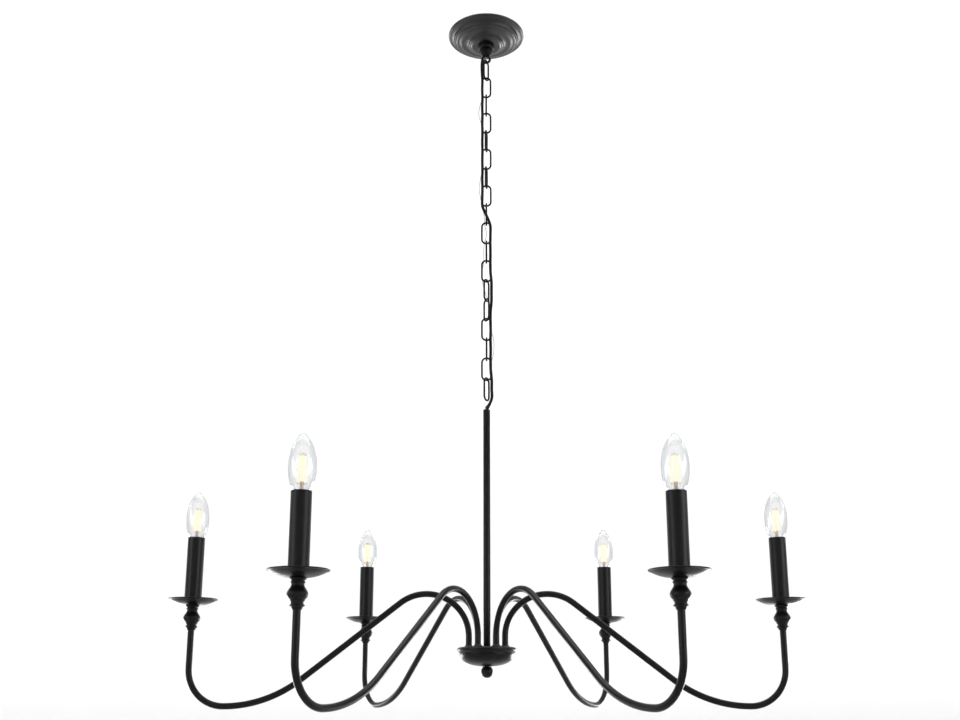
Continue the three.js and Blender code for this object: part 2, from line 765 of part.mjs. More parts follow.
function bulb() {
  const bottom = sleeveTop - BULB_HIDDEN;
  const neck = BULB_BASE_RADIUS + 1.2;
  const glass = BULB_OUTLINE.map(([share, width]) => [
    width * BULB_RADIUS,
    sleeveTop + share * BULB_SHOWN,
  ]);
  return turned(
    [
      [0, bottom],
      [BULB_BASE_RADIUS * 0.6, bottom],
      [BULB_BASE_RADIUS, bottom + 3],
      [BULB_BASE_RADIUS, bottom + BULB_BASE_LENGTH],
      [neck, bottom + BULB_BASE_LENGTH + 1],
      [neck, sleeveTop - 2],
      ...glass,
      [0, sleeveTop + BULB_SHOWN],
    ],
    12,
  );
}

for (let i = 0; i < ARM_COUNT; i += 1) {
  const branch = new THREE.Group();
  branch.rotation.z = (2 * Math.PI * i) / ARM_COUNT;
  fixture.add(branch);
  place(`arm_${i + 1}`, rod(armLine(), ARM_RADIUS, 8), blackPaint, branch);
  const pieces = [
    ['cup', cup(), blackPaint],
    ['bobeche', bobeche(), blackPaint],
    ['candle_sleeve', sleeve(), blackPaint],
    ['bulb', bulb(), clearGlass],
  ];
  for (const [name, geometry, material] of pieces) {
    place(`${name}_${i + 1}`, geometry, material, branch).position.x = ARM_REACH;
  }
}

export default fixture;
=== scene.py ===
# A six-arm candle chandelier in satin black: a stepped ceiling canopy, an oval-link chain with the
# supply cord beside it, a stem, and a small hub whose bent arms end in turned cups, drip dishes,
# candle sleeves and clear filament bulbs. Metres; the ceiling is at height 0 and all hangs below it.
import math

import bpy
from mathutils import Matrix, Vector


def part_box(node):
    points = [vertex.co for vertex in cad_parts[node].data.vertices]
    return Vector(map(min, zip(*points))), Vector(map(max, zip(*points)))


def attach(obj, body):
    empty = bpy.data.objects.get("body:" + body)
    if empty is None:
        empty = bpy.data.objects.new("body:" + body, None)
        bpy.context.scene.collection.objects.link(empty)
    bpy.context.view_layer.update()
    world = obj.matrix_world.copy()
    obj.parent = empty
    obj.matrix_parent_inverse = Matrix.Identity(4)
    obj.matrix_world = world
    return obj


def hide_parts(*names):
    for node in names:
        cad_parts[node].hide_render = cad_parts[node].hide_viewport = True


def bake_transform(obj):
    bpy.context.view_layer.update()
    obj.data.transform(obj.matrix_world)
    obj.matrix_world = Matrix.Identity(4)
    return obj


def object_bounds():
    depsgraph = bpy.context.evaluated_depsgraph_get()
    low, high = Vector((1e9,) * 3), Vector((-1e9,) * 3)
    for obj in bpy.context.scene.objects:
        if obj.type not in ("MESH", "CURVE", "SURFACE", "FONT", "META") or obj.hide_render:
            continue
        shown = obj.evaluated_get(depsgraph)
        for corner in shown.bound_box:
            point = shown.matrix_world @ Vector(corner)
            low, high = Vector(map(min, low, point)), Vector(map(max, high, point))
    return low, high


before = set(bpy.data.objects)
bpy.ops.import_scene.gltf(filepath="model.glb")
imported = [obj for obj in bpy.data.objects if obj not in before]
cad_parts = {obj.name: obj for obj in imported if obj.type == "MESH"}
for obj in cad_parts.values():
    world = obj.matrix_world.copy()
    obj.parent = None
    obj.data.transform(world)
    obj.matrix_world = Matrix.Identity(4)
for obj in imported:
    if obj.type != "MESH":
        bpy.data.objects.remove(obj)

cad_low, cad_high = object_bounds()


# ---- Camera ------------------------------------------------------------------------------------
# It stands a little below the hub and looks up, so that the canopy shows its underside and the
# dishes show their edges.
hub_low, hub_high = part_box("hub_plate")
hub_top = hub_high.z
camera_data = bpy.data.cameras.new("camera")
camera_data.sensor_width = 36
camera_data.lens = 40.6
camera_data.shift_y = 0.08
camera_data.clip_start = 0.05
camera_data.clip_end = 60
camera = bpy.data.objects.new("camera", camera_data)
camera.location = (-0.0106, -1.669, hub_top - 0.076)
camera.rotation_euler = (math.radians(90 + 13.6), 0, 0)
bpy.context.collection.objects.link(camera)
bpy.context.scene.camera = camera


# ---- Floor, wall and lights --------------------------------------------------------------------
# A pale floor that curves up into a pale wall all round, so that no horizon line shows. Two tall
# soft boxes light the lamp from its sides, two low ones from behind, and two large ones the wall.
class Signal:
    """An output of a material's node. Used in a sum, it adds the Math node that does the sum."""

    def __init__(self, socket):
        self.socket = socket

    def node(self, kind, settings=None, inputs=None, output=0):
        """A new node in the same material: its settings are made first, and then its sockets."""
        tree = self.socket.id_data
        made = tree.nodes.new(kind)
        for key, value in (settings or {}).items():
            if key == "stops":
                ramp = made.color_ramp
                while len(ramp.elements) < len(value):
                    ramp.elements.new(1.0)
                for element, (position, colour) in zip(ramp.elements, value):
                    element.position = position
                    element.color = (*colour, 1)
            else:
                setattr(made, key, value)
        for key, value in (inputs or {}).items():
            if isinstance(value, Signal):
                tree.links.new(value.socket, made.inputs[key])
            else:
                made.inputs[key].default_value = value
        return Signal(made.outputs[output])

    def sum(self, operation, first, second):
        return self.node("ShaderNodeMath", {"operation": operation}, {0: first, 1: second})

    def __add__(self, other):
        return self.sum("ADD", self, other)

    def __radd__(self, other):
        return self.sum("ADD", other, self)

    def __mul__(self, other):
        return self.sum("MULTIPLY", self, other)

    def __rmul__(self, other):
        return self.sum("MULTIPLY", other, self)

    def mix(self, low, high):
        """A colour between low and high, as far as this value goes from 0 to 1."""
        colours = {6: (*low, 1), 7: (*high, 1)}
        settings = {"data_type": "RGBA"}
        return self.node("ShaderNodeMix", settings, {0: self, **colours}, output=2)

    def noise(self, scale, detail=2.0, roughness=0.5):
        """Noise over the place that this signal holds."""
        values = {"Vector": self, "Scale": scale, "Detail": detail, "Roughness": roughness}
        return self.node("ShaderNodeTexNoise", None, values)

    def clamp(self, low, high):
        """This value's span from low to high, stretched to 0 to 1 and cut off there."""
        return self.node("ShaderNodeMapRange", None, {"Value": self, "From Min": low, "From Max": high})


def new_finish(name):
    """An empty material, and the signal of a point's place on the object."""
    finish = bpy.data.materials.new(name)
    finish.use_nodes = True
    finish.node_tree.nodes.clear()
    place = finish.node_tree.nodes.new("ShaderNodeTexCoord")
    return finish, Signal(place.outputs["Object"])


def coat_with(place, surface_inputs, height=None, bump=0.1, depth=0.001):
    """The main shader with these inputs, and a bump from the height signal if there is one."""
    inputs = dict(surface_inputs)
    if height is not None:
        bumps = {"Strength": bump, "Distance": depth, "Height": height}
        inputs["Normal"] = place.node("ShaderNodeBump", None, bumps)
    surface = place.node("ShaderNodeBsdfPrincipled", None, inputs)
    tree = place.socket.id_data
    output = tree.nodes.new("ShaderNodeOutputMaterial")
    tree.links.new(surface.socket, output.inputs["Surface"])


backdrop_paper, place = new_finish("backdrop_paper")
cloud = place.noise(0.8, 2.0)
floor_height = cad_low.z - 0.75
height = place.node("ShaderNodeSeparateXYZ", None, {"Vector": place}, output=2)
wall_share = height.clamp(floor_height, floor_height + 0.8)
paleness = wall_share.mix((0.60, 0.60, 0.60), (0.88, 0.88, 0.88))
tinted = {"data_type": "RGBA", "blend_type": "MULTIPLY"}
speckle = cloud.mix((0.97, 0.97, 0.97), (1, 1, 1))
paper = place.node("ShaderNodeMix", tinted, {0: 1.0, 6: paleness, 7: speckle}, output=2)
coat_with(place, {"Base Color": paper, "Roughness": 0.9, "Specular IOR Level": 0.2})

floor_radius = 5.5
cove_radius = 1.5
cove_steps = 10
wall_height = 7
bpy.ops.object.select_all(action="DESELECT")
bpy.ops.mesh.primitive_circle_add(
    vertices=96, radius=floor_radius, fill_type="NGON", location=(0, 0, floor_height)
)
backdrop = bpy.context.object
backdrop.name = "backdrop"
bpy.ops.object.mode_set(mode="EDIT")
bpy.ops.mesh.select_all(action="SELECT")
bpy.ops.mesh.select_mode(type="EDGE")
bpy.ops.mesh.region_to_loop()
for step in range(1, cove_steps + 1):
    turn = math.radians(90 / cove_steps * step)
    last = math.radians(90 / cove_steps * (step - 1))
    rise = cove_radius * (math.cos(last) - math.cos(turn))
    run = floor_radius + cove_radius * math.sin(turn)
    spread = run / (floor_radius + cove_radius * math.sin(last))
    bpy.ops.mesh.extrude_edges_move(TRANSFORM_OT_translate={"value": (0, 0, rise)})
    bpy.ops.transform.resize(value=(spread, spread, 1), center_override=(0, 0, 0))
bpy.ops.mesh.extrude_edges_move(TRANSFORM_OT_translate={"value": (0, 0, wall_height)})
bpy.ops.object.mode_set(mode="OBJECT")
bpy.ops.object.shade_smooth()
bpy.ops.object.transform_apply(location=True, rotation=True, scale=True)
backdrop.data.materials.append(backdrop_paper)

world = bpy.data.worlds.new("studio_air")
world.use_nodes = True
world.node_tree.nodes["Background"].inputs["Color"].default_value = (1, 1, 1, 1)
world.node_tree.nodes["Background"].inputs["Strength"].default_value = 0.3
bpy.context.scene.world = world
bpy.context.scene.view_settings.view_transform = "Standard"


def soft_box(name, position, aim, width, height, power):
    """A rectangular soft light at a position, turned to face the aim."""
    light = bpy.data.lights.new(name, "AREA")
    light.shape = "RECTANGLE"
    light.size = width
    light.size_y = height
    light.energy = power
    lamp = bpy.data.objects.new(name, light)
    lamp.location = position
    lamp.rotation_euler = (Vector(aim) - Vector(position)).to_track_quat("-Z", "Z").to_euler()
    bpy.context.collection.objects.link(lamp)


hub_middle = (0, 0, hub_top + 0.3)
soft_box("left_box", (-2.6, -1.6, hub_top + 0.5), hub_middle, 0.8, 2.6, 22)
soft_box("right_box", (2.6, -1.4, hub_top + 0.6), hub_middle, 0.8, 2.6, 30)
soft_box("top_box", (0, -0.6, 3.6), hub_middle, 3, 3, 10)
soft_box("low_left_box", (-1.9, 2.6, floor_height + 0.1), (0, 0, 0), 1.7, 1.7, 105)
soft_box("low_right_box", (1.9, 2.6, floor_height + 0.1), (0, 0, 0), 1.7, 1.7, 150)
soft_box("back_box", (0, 1.0, 4.2), (0, 7, -0.6), 7, 4, 345)
soft_box("front_box", (0, -1.0, 4.2), (0, -7, -0.6), 7, 4, 150)


# ---- Supply cord and ground wire ---------------------------------------------------------------
# A round black jacketed cord and a thin clear-jacketed ground wire. They come out of the loop's
# neck, go down beside the chain with a little slack, and enter the cap of the stem at the back.
link_wire = 0.003
link_width = 0.018
link_length = 0.040
# How far each link is turned from the one above it, in degrees.
link_turns = [60, 120, 90, 90, 80, 100, 80, 100, 90, 90, 90, 90, 60, 60, 60, 90, 90, 60]
rest_gap = 0.0003
link_count = len(link_turns)
crossing_link = 9
cord_radius = 0.0024
ground_radius = 0.0006

link_span = link_length - link_wire
link_pitch = link_span - link_wire - rest_gap
first_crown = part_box("chain_link_01")[1].z - link_wire / 2
loop_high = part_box("collar_loop")[1]
loop_wire = 0.0042
eye_bar = first_crown - (loop_wire + link_wire) / 2 - rest_gap
loop_width = 0.017
eye_middle = eye_bar + loop_width / 2 - loop_wire / 2
loop_neck_bottom = eye_middle + loop_width / 2 - loop_wire * 0.6
ring_low, ring_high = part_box("collar_ring")
collar_bottom, collar_top = ring_low.z, ring_high.z
stem_low, stem_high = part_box("stem")
stem_top = stem_high.z
stem_eye_low, stem_eye_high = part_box("stem_loop")
cap_bottom = stem_eye_low.z
cap_top = cap_bottom + 0.004
stem_eye_width = 0.017
stem_eye_middle = stem_eye_high.z - stem_eye_width / 2
last_crown = first_crown - link_span - (link_count - 1) * link_pitch


def link_middle(index):
    """The height of the middle of a chain link, counted from 0 at the top."""
    return first_crown - link_span / 2 - index * link_pitch


def smooth_route(stations, count):
    """Points evenly spaced along a smooth curve through the stations, as a lax cord takes."""
    points = [Vector(station) for station in stations]
    points = [2 * points[0] - points[1], *points, 2 * points[-1] - points[-2]]
    fine = []
    fine_steps = 12
    for before, start, end, after in zip(points, points[1:], points[2:], points[3:]):
        knots = [0.0]
        for one, other in ((before, start), (start, end), (end, after)):
            knots.append(knots[-1] + max((other - one).length, 1e-6) ** 0.5)
        k0, k1, k2, k3 = knots
        for step in range(fine_steps):
            t = k1 + (k2 - k1) * step / fine_steps
            a1 = (before * (k1 - t) + start * (t - k0)) / (k1 - k0)
            a2 = (start * (k2 - t) + end * (t - k1)) / (k2 - k1)
            a3 = (end * (k3 - t) + after * (t - k2)) / (k3 - k2)
            b1 = (a1 * (k2 - t) + a2 * (t - k0)) / (k2 - k0)
            b2 = (a2 * (k3 - t) + a3 * (t - k1)) / (k3 - k1)
            fine.append((b1 * (k2 - t) + b2 * (t - k1)) / (k2 - k1))
    fine.append(points[-2])
    lengths = [0.0]
    for one, other in zip(fine, fine[1:]):
        lengths.append(lengths[-1] + (other - one).length)
    spaced = []
    piece = 0
    for step in range(count + 1):
        target = lengths[-1] * step / count
        while piece < len(fine) - 2 and lengths[piece + 1] < target:
            piece += 1
        share = (target - lengths[piece]) / (lengths[piece + 1] - lengths[piece])
        spaced.append(fine[piece].lerp(fine[piece + 1], min(share, 1)))
    return spaced


def cord_route():
    """The cord's stations: inside the neck, down one side, through a link, down the other."""
    across = (link_width - link_wire) / 2
    lane = link_wire / 2 + cord_radius + 2 * rest_gap
    stations = [
        (-0.0008, 0, -0.001),
        (-0.0008, 0, collar_top + 0.002),
        (-0.0009, 0.0006, collar_bottom + 0.001),
        (-0.0052, 0.0054, loop_neck_bottom + 0.0034),
        (-0.0066, 0.0069, eye_middle + 0.003),
        (-across, lane + 0.001, eye_bar - 0.004),
    ]
    for index in range(link_count):
        number = index + 1
        side = -1 if number < crossing_link else 1
        if number == crossing_link:
            stations.append((0, lane * 0.62, link_middle(index)))
        elif index > 0:
            wide = 1.1 if number in (13, link_count) else 0.9
            stations.append((side * wide * across, lane, link_middle(index)))
        if number < link_count:
            wide = 1.1 if number in (12, 13, link_count - 1) else 0.86
            stations.append((side * wide * across, lane, link_middle(index) - link_pitch / 2))
    stations += [
        (across * 1.14, lane + 0.0006, last_crown + 0.006),
        (across * 0.72, lane + 0.0012, stem_eye_middle),
        (0.002, 0.0029, cap_top + 0.0024),
        (0.0006, 0.0006, stem_top + 0.0014),
        (0.0006, 0.0003, stem_top - 0.014),
    ]
    return stations


def ground_route():
    """The ground wire's stations: behind the cord, with slack loops that stand out sideways."""
    lane = link_wire / 2 + 2 * cord_radius + ground_radius + 4 * rest_gap

    def below(number):
        return link_middle(number - 1) - link_pitch / 2

    def beside(number):
        return link_middle(number - 1)

    return [
        (0.0029, 0, -0.001),
        (0.0029, 0.0003, collar_top + 0.002),
        (0.0014, 0.0036, collar_bottom + 0.001),
        (-0.0014, 0.0084, loop_neck_bottom + 0.003),
        (-0.0034, 0.0102, eye_middle),
        (-0.0058, lane + 0.001, beside(1)),
        (-0.0064, lane, below(1)),
        (-0.007, lane, beside(2)),
        (-0.0074, lane, below(2)),
        (-0.012, lane - 0.002, beside(3) - 0.003),
        (-0.0124, lane - 0.002, below(3)),
        (-0.0076, lane, beside(4)),
        (-0.0064, lane, beside(5)),
        (-0.007, lane, beside(6)),
        (-0.0074, lane, below(6)),
        (-0.0116, lane - 0.002, below(7) + 0.006),
        (-0.012, lane - 0.002, below(7) - 0.004),
        (-0.0076, lane, below(8) + 0.006),
        (-0.0036, lane, beside(9)),
        (-0.003, 0.0038, below(9)),
        (0.0004, 0.0036, beside(10)),
        (-0.0034, 0.004, below(10)),
        (-0.0046, 0.003, beside(11)),
        (-0.0044, 0.004, below(11)),
        (-0.0074, 0.0032, beside(12)),
        (-0.0064, 0.0064, below(12)),
        (-0.002, 0.011, beside(13)),
        (0.004, 0.011, below(13)),
        (0.007, lane, beside(14)),
        (0.0068, lane, beside(15)),
        (0.0106, lane - 0.001, below(15) + 0.008),
        (0.012, lane - 0.002, beside(16)),
        (0.0074, lane, beside(17) + 0.008),
        (0.007, lane, beside(18)),
        (0.0078, lane + 0.0006, last_crown + 0.005),
        (0.0034, lane + 0.0004, stem_eye_middle),
        (-0.0019, 0.0046, cap_top + 0.0024),
        (-0.0025, 0.002, stem_top + 0.0008),
        (-0.0025, 0.0018, stem_top - 0.014),
    ]


def keep_between(piece, top, bottom):
    """Cuts a piece off above one height and below another, and closes the cuts."""
    bpy.ops.object.select_all(action="DESELECT")
    piece.select_set(True)
    bpy.context.view_layer.objects.active = piece
    bpy.ops.object.mode_set(mode="EDIT")
    for height, direction in ((top, 1), (bottom, -1)):
        bpy.ops.mesh.select_all(action="SELECT")
        bpy.ops.mesh.bisect(
            plane_co=(0, 0, height), plane_no=(0, 0, direction), clear_outer=True, use_fill=True
        )
    bpy.ops.object.mode_set(mode="OBJECT")


def drawn_wire(name, route, radius, sides):
    """A round wire along a route, closed at both ends."""
    drawing = bpy.data.curves.new(name, "CURVE")
    drawing.dimensions = "3D"
    drawing.bevel_depth = radius
    drawing.bevel_resolution = sides
    drawing.use_fill_caps = True
    line = drawing.splines.new("POLY")
    line.points.add(len(route) - 1)
    for point, station in zip(line.points, route):
        point.co = (*station, 1)
    wire = bpy.data.objects.new(name, drawing)
    bpy.context.collection.objects.link(wire)
    bpy.ops.object.select_all(action="DESELECT")
    wire.select_set(True)
    bpy.context.view_layer.objects.active = wire
    bpy.ops.object.convert(target="MESH")
    wire = bpy.context.object
    bpy.ops.object.mode_set(mode="EDIT")
    bpy.ops.mesh.select_all(action="SELECT")
    bpy.ops.mesh.remove_doubles(threshold=1e-7)
    bpy.ops.mesh.normals_make_consistent(inside=False)
    bpy.ops.object.mode_set(mode="OBJECT")
    bpy.ops.object.shade_smooth()
    return wire


black_jacket, place = new_finish("black_jacket")
rubs = place.noise(140, 3.0)
fibres = place.noise(1900, 2.0)
coat_with(
    place,
    {
        "Base Color": rubs.mix((0.003, 0.0026, 0.0026), (0.010, 0.008, 0.0075)),
        "Roughness": 0.46 + rubs * 0.16,
        "Specular IOR Level": 0.1,
    },
    fibres,
    0.12,
    0.0002,
)

clear_jacket, place = new_finish("clear_jacket")
strands = place.noise(900, 2.0)
coat_with(
    place,
    {
        "Base Color": strands.mix((0.34, 0.27, 0.20), (0.56, 0.52, 0.46)),
        "Roughness": 0.24 + strands * 0.2,
        "Metallic": 0.25,
        "Coat Weight": 0.6,
    },
    strands,
    0.2,
    0.0002,
)

# Each stretch runs from the middle of one link to the middle of the next.
link_bodies = [f"chain_link_{number:02d}" for number in range(1, link_count + 1)]
link_middles = [link_middle(index) for index in range(link_count)]
stretch_bodies = ["mounting", *link_bodies, "frame"]
stretch_heights = [eye_bar + 0.004, *link_middles, cap_top + 0.006]
above_all, below_all = 1, -9
for wire_name, route, radius, sides, jacket, node in (
    ("supply_cord", smooth_route(cord_route(), 260), cord_radius, 5, black_jacket, "supply_cord"),
    ("ground_wire", smooth_route(ground_route(), 300), ground_radius, 2, clear_jacket, "ground_wire"),
):
    whole = drawn_wire(wire_name, route, radius, sides)
    whole.data.materials.append(jacket)
    for number, (upper, lower) in enumerate(zip(stretch_bodies, stretch_bodies[1:]), start=1):
        top, bottom = stretch_heights[number - 1], stretch_heights[number]
        stretch = bpy.data.objects.new(f"{wire_name}_{number:02d}", whole.data.copy())
        bpy.context.collection.objects.link(stretch)
        cut_top = above_all if number == 1 else top
        cut_bottom = below_all if number == link_count + 1 else bottom
        keep_between(stretch, cut_top, cut_bottom)
        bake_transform(stretch)
        "cord_jacket" if node == "supply_cord" else "clear_jacket"
        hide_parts(node)
    bpy.data.objects.remove(whole)


# ---- Mounting strap and nipple -----------------------------------------------------------------
# A slotted strap of zinc plated steel across the outlet box, and the threaded tube that the
# canopy's loop screws onto. Both are hidden while the canopy is up.
zinc_plate, place = new_finish("zinc_plate")
blotches = place.noise(260, 4.0, 0.6)
stretched = place.node("ShaderNodeMapping", None, {"Vector": place, "Scale": (6, 900, 900)})
rolling = stretched.noise(1, 2.0)
coat_with(
    place,
    {
        "Base Color": blotches.mix((0.42, 0.42, 0.39), (0.60, 0.60, 0.57)),
        "Metallic": 1.0,
        "Roughness": 0.3 + blotches * 0.2,
    },
    rolling,
    0.08,
    0.0002,
)
for node in ("mounting_strap", "canopy_nipple"):
    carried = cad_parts[node]
    carried.data.materials.clear()
    carried.data.materials.append(zinc_plate)


# ---- Canopy ------------------------------------------------------------------------------------
# A spun steel shell in satin black, with a rolled rim, a ridge, two fine grooves, a broad flat
# band and a raised middle. The screw collar presses it up against the ceiling.
def ring_by_ring(name, outline, sides, closed=False):
    """Turns an outline of (radius, height) points about the upright axis, one ring at a time.
    The ends are closed with a face each, or joined to each other if the outline is closed."""
    (radius, height), *rest = outline
    bpy.ops.object.select_all(action="DESELECT")
    bpy.ops.mesh.primitive_circle_add(vertices=sides, radius=radius, location=(0, 0, height))
    turned = bpy.context.object
    turned.name = name
    bpy.ops.object.mode_set(mode="EDIT")
    bpy.ops.mesh.select_mode(type="EDGE")
    bpy.ops.mesh.select_all(action="SELECT")
    for next_radius, next_height in rest:
        rise = {"value": (0, 0, next_height - height)}
        bpy.ops.mesh.extrude_edges_move(TRANSFORM_OT_translate=rise)
        spread = next_radius / radius
        bpy.ops.transform.resize(value=(spread, spread, 1), center_override=(0, 0, next_height))
        radius, height = next_radius, next_height
    bpy.ops.mesh.select_all(action="SELECT")
    if closed:
        bpy.ops.mesh.remove_doubles(threshold=1e-6)
    else:
        bpy.ops.mesh.select_all(action="DESELECT")
        bpy.ops.mesh.select_mode(type="VERT")
        bpy.ops.mesh.select_non_manifold()
        bpy.ops.mesh.fill_holes(sides=0)
        bpy.ops.mesh.select_all(action="SELECT")
    bpy.ops.mesh.normals_make_consistent(inside=False)
    bpy.ops.object.mode_set(mode="OBJECT")
    bpy.ops.object.transform_apply(location=True, rotation=True, scale=True)
    return turned


def soften(piece, width, angle=28, segments=2):
    """Rounds a piece's sharp edges a little, as paint and polishing do, and shades it smooth."""
    bpy.ops.object.select_all(action="DESELECT")
    piece.select_set(True)
    bpy.context.view_layer.objects.active = piece
    edge = piece.modifiers.new("edge", "BEVEL")
    edge.width = width
    edge.segments = segments
    edge.limit_method = "ANGLE"
    edge.angle_limit = math.radians(angle)
    bpy.ops.object.modifier_apply(modifier=edge.name)
    bpy.ops.object.shade_smooth_by_angle(angle=math.radians(40))


def bow(start, end, bulge, steps=4):
    """Points from start to end along a shallow arc that stands out by bulge on its outer side."""
    (r0, z0), (r1, z1) = start, end
    length = math.hypot(r1 - r0, z1 - z0)
    side = ((z1 - z0) / length, -(r1 - r0) / length)
    points = []
    for step in range(1, steps + 1):
        share = step / steps
        out = bulge * 4 * share * (1 - share)
        points.append((r0 + (r1 - r0) * share + side[0] * out, z0 + (z1 - z0) * share + side[1] * out))
    return points


satin_black, place = new_finish("satin_black")
drift = place.noise(9, 3.0)
peel = place.noise(620, 2.0, 0.45)
specks = place.noise(2600, 1.0).clamp(0.62, 0.72)
coat_with(
    place,
    {
        "Base Color": drift.mix((0.0025, 0.0025, 0.0027), (0.0045, 0.0045, 0.0047)),
        "Roughness": 0.28 + drift * 0.08 + specks * 0.1,
        "Specular IOR Level": 0.16,
    },
    peel,
    0.05,
    0.0003,
)

# The canopy is spun thin and polished before it is painted, so its paint lies flatter and shines.
spun_black, place = new_finish("spun_black")
drift = place.noise(14, 3.0)
peel = place.noise(620, 2.0, 0.45)
coat_with(
    place,
    {
        "Base Color": drift.mix((0.0030, 0.0030, 0.0032), (0.0055, 0.0055, 0.0058)),
        "Roughness": 0.26 + drift * 0.1,
        "Specular IOR Level": 0.42,
    },
    peel,
    0.05,
    0.0003,
)

canopy_low, canopy_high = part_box("canopy")
canopy_radius = canopy_high.x
boss_bottom = canopy_low.z
canopy_wall = 0.0012
canopy_hole = 0.0098
canopy_outline = [
    (canopy_radius - 0.0004, -0.0002),
    (canopy_radius, -0.0012),
    (canopy_radius, -0.0031),
    (canopy_radius - 0.0009, -0.0043),
    (canopy_radius - 0.0022, -0.0048),
]
canopy_outline += bow(canopy_outline[-1], (canopy_radius - 0.0079, -0.0062), 0.0003)
canopy_outline += bow(canopy_outline[-1], (canopy_radius - 0.0096, -0.0081), 0.0006)
canopy_outline += [
    (canopy_radius - 0.0099, -0.0090),
    (canopy_radius - 0.0100, -0.0102),
    (canopy_radius - 0.0106, -0.0112),
    (canopy_radius - 0.0118, -0.0116),
    (canopy_radius - 0.0126, -0.0117),
    (canopy_radius - 0.0132, -0.0126),
    (canopy_radius - 0.0143, -0.0134),
]
canopy_outline += bow(canopy_outline[-1], (canopy_radius - 0.0224, -0.0154), 0.0005)
canopy_outline += bow(canopy_outline[-1], (canopy_radius - 0.0334, -0.0169), 0.0004)
canopy_outline += [
    (canopy_radius - 0.0344, -0.0175),
    (canopy_radius - 0.0350, -0.0188),
    (canopy_radius - 0.0357, -0.0199),
    (canopy_radius - 0.0371, -0.0206),
]
canopy_outline += bow(canopy_outline[-1], (canopy_radius - 0.0400, -0.0216), 0.0003)
canopy_outline += [
    (canopy_radius - 0.0416, boss_bottom),
    (0.0200, boss_bottom),
    (canopy_hole, boss_bottom),
]
inner_side = []
for (radius, height), (next_radius, next_height) in zip(canopy_outline, canopy_outline[1:]):
    length = math.hypot(next_radius - radius, next_height - height)
    inward = ((next_height - height) / length, -(next_radius - radius) / length)
    middle = ((radius + next_radius) / 2, (height + next_height) / 2)
    inner_side.append((middle[0] + inward[0] * canopy_wall, middle[1] + inward[1] * canopy_wall))
inner_rim = (canopy_radius - canopy_wall, -0.0002)
inner_side = [inner_rim, *inner_side, (canopy_hole, boss_bottom + canopy_wall)]
shell_outline = [*canopy_outline, *reversed(inner_side), canopy_outline[0]]
canopy = ring_by_ring("canopy_shell", shell_outline, 96, closed=True)
soften(canopy, 0.0001, 50)
canopy.data.materials.append(spun_black)
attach(canopy, "canopy")
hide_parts("canopy")


# ---- Screw collar ------------------------------------------------------------------------------
# A turned ring of steel, threaded inside, that runs up the loop's neck and holds the canopy.
collar_radius = ring_high.x
collar_bore = 0.0097
collar_outline = [
    (collar_bore, collar_bottom),
    (collar_radius - 0.0016, collar_bottom),
    (collar_radius - 0.0005, collar_bottom + 0.0004),
    (collar_radius, collar_bottom + 0.0014),
    (collar_radius, collar_bottom + 0.0024),
    (collar_radius - 0.0006, collar_bottom + 0.0029),
    (collar_radius - 0.0006, collar_bottom + 0.0033),
    (collar_radius, collar_bottom + 0.0038),
    (collar_radius, collar_top - 0.0016),
    (collar_radius - 0.0006, collar_top - 0.0006),
    (collar_radius - 0.0022, collar_top),
    (collar_bore, collar_top),
    (collar_bore, collar_bottom),
]
collar = ring_by_ring("screw_collar", collar_outline, 64, closed=True)
soften(collar, 0.0002)
collar.data.materials.append(satin_black)
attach(collar, "collar")
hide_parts("collar_ring")


# ---- Canopy loop -------------------------------------------------------------------------------
# A cast neck with a round eye under it. The nipple screws into its top, the chain hangs in the
# eye, and the cord leaves through a wireway at the back of the neck.
def bar_ring(name, width, wire, height):
    """A ring of round bar that stands upright, centred at that height."""
    bpy.ops.object.select_all(action="DESELECT")
    bpy.ops.mesh.primitive_torus_add(
        major_segments=48,
        minor_segments=20,
        major_radius=(width - wire) / 2,
        minor_radius=wire / 2,
        location=(0, 0, height),
        rotation=(math.pi / 2, 0, 0),
    )
    ring = bpy.context.object
    ring.name = name
    bpy.ops.object.transform_apply(location=True, rotation=True, scale=True)
    return ring


def join_solids(body, other, operation="UNION"):
    """Adds one solid to another, or cuts it away, and removes the tool."""
    bpy.ops.object.select_all(action="DESELECT")
    body.select_set(True)
    bpy.context.view_layer.objects.active = body
    joint = body.modifiers.new("joint", "BOOLEAN")
    joint.operation = operation
    joint.object = other
    joint.solver = "EXACT"
    bpy.ops.object.modifier_apply(modifier=joint.name)
    bpy.data.objects.remove(other)


def bore_wireways(body, stations):
    """Bores a body along the cord's and the ground wire's routes, over a slice of their stations."""
    wires = ((cord_route(), cord_radius, 4), (ground_route(), ground_radius, 2))
    for route, radius, sides in wires:
        bore = drawn_wire("wireway", smooth_route(route[stations], 30), radius + 0.0004, sides)
        join_solids(body, bore, "DIFFERENCE")
    bpy.ops.object.shade_smooth_by_angle(angle=math.radians(40))


neck_radius = loop_high.x
neck_bore = 0.0040
loop_outline = [
    (neck_bore, loop_neck_bottom - 0.0002),
    (neck_radius - 0.0044, loop_neck_bottom),
    (neck_radius - 0.0026, loop_neck_bottom + 0.0004),
    (neck_radius - 0.0013, loop_neck_bottom + 0.0012),
    (neck_radius - 0.0006, loop_neck_bottom + 0.0022),
    (neck_radius - 0.0005, loop_neck_bottom + 0.0032),
    (neck_radius - 0.0009, loop_neck_bottom + 0.0039),
    (neck_radius - 0.0012, loop_neck_bottom + 0.0043),
    (neck_radius - 0.0009, loop_neck_bottom + 0.0048),
    (neck_radius - 0.0003, loop_neck_bottom + 0.0054),
    (neck_radius, collar_bottom - 0.0005),
    (neck_radius, loop_high.z - 0.0006),
    (neck_radius - 0.0006, loop_high.z),
    (neck_bore, loop_high.z),
]
canopy_loop = ring_by_ring("canopy_loop", loop_outline, 56)
join_solids(canopy_loop, bar_ring("eye", loop_width, loop_wire, eye_middle))
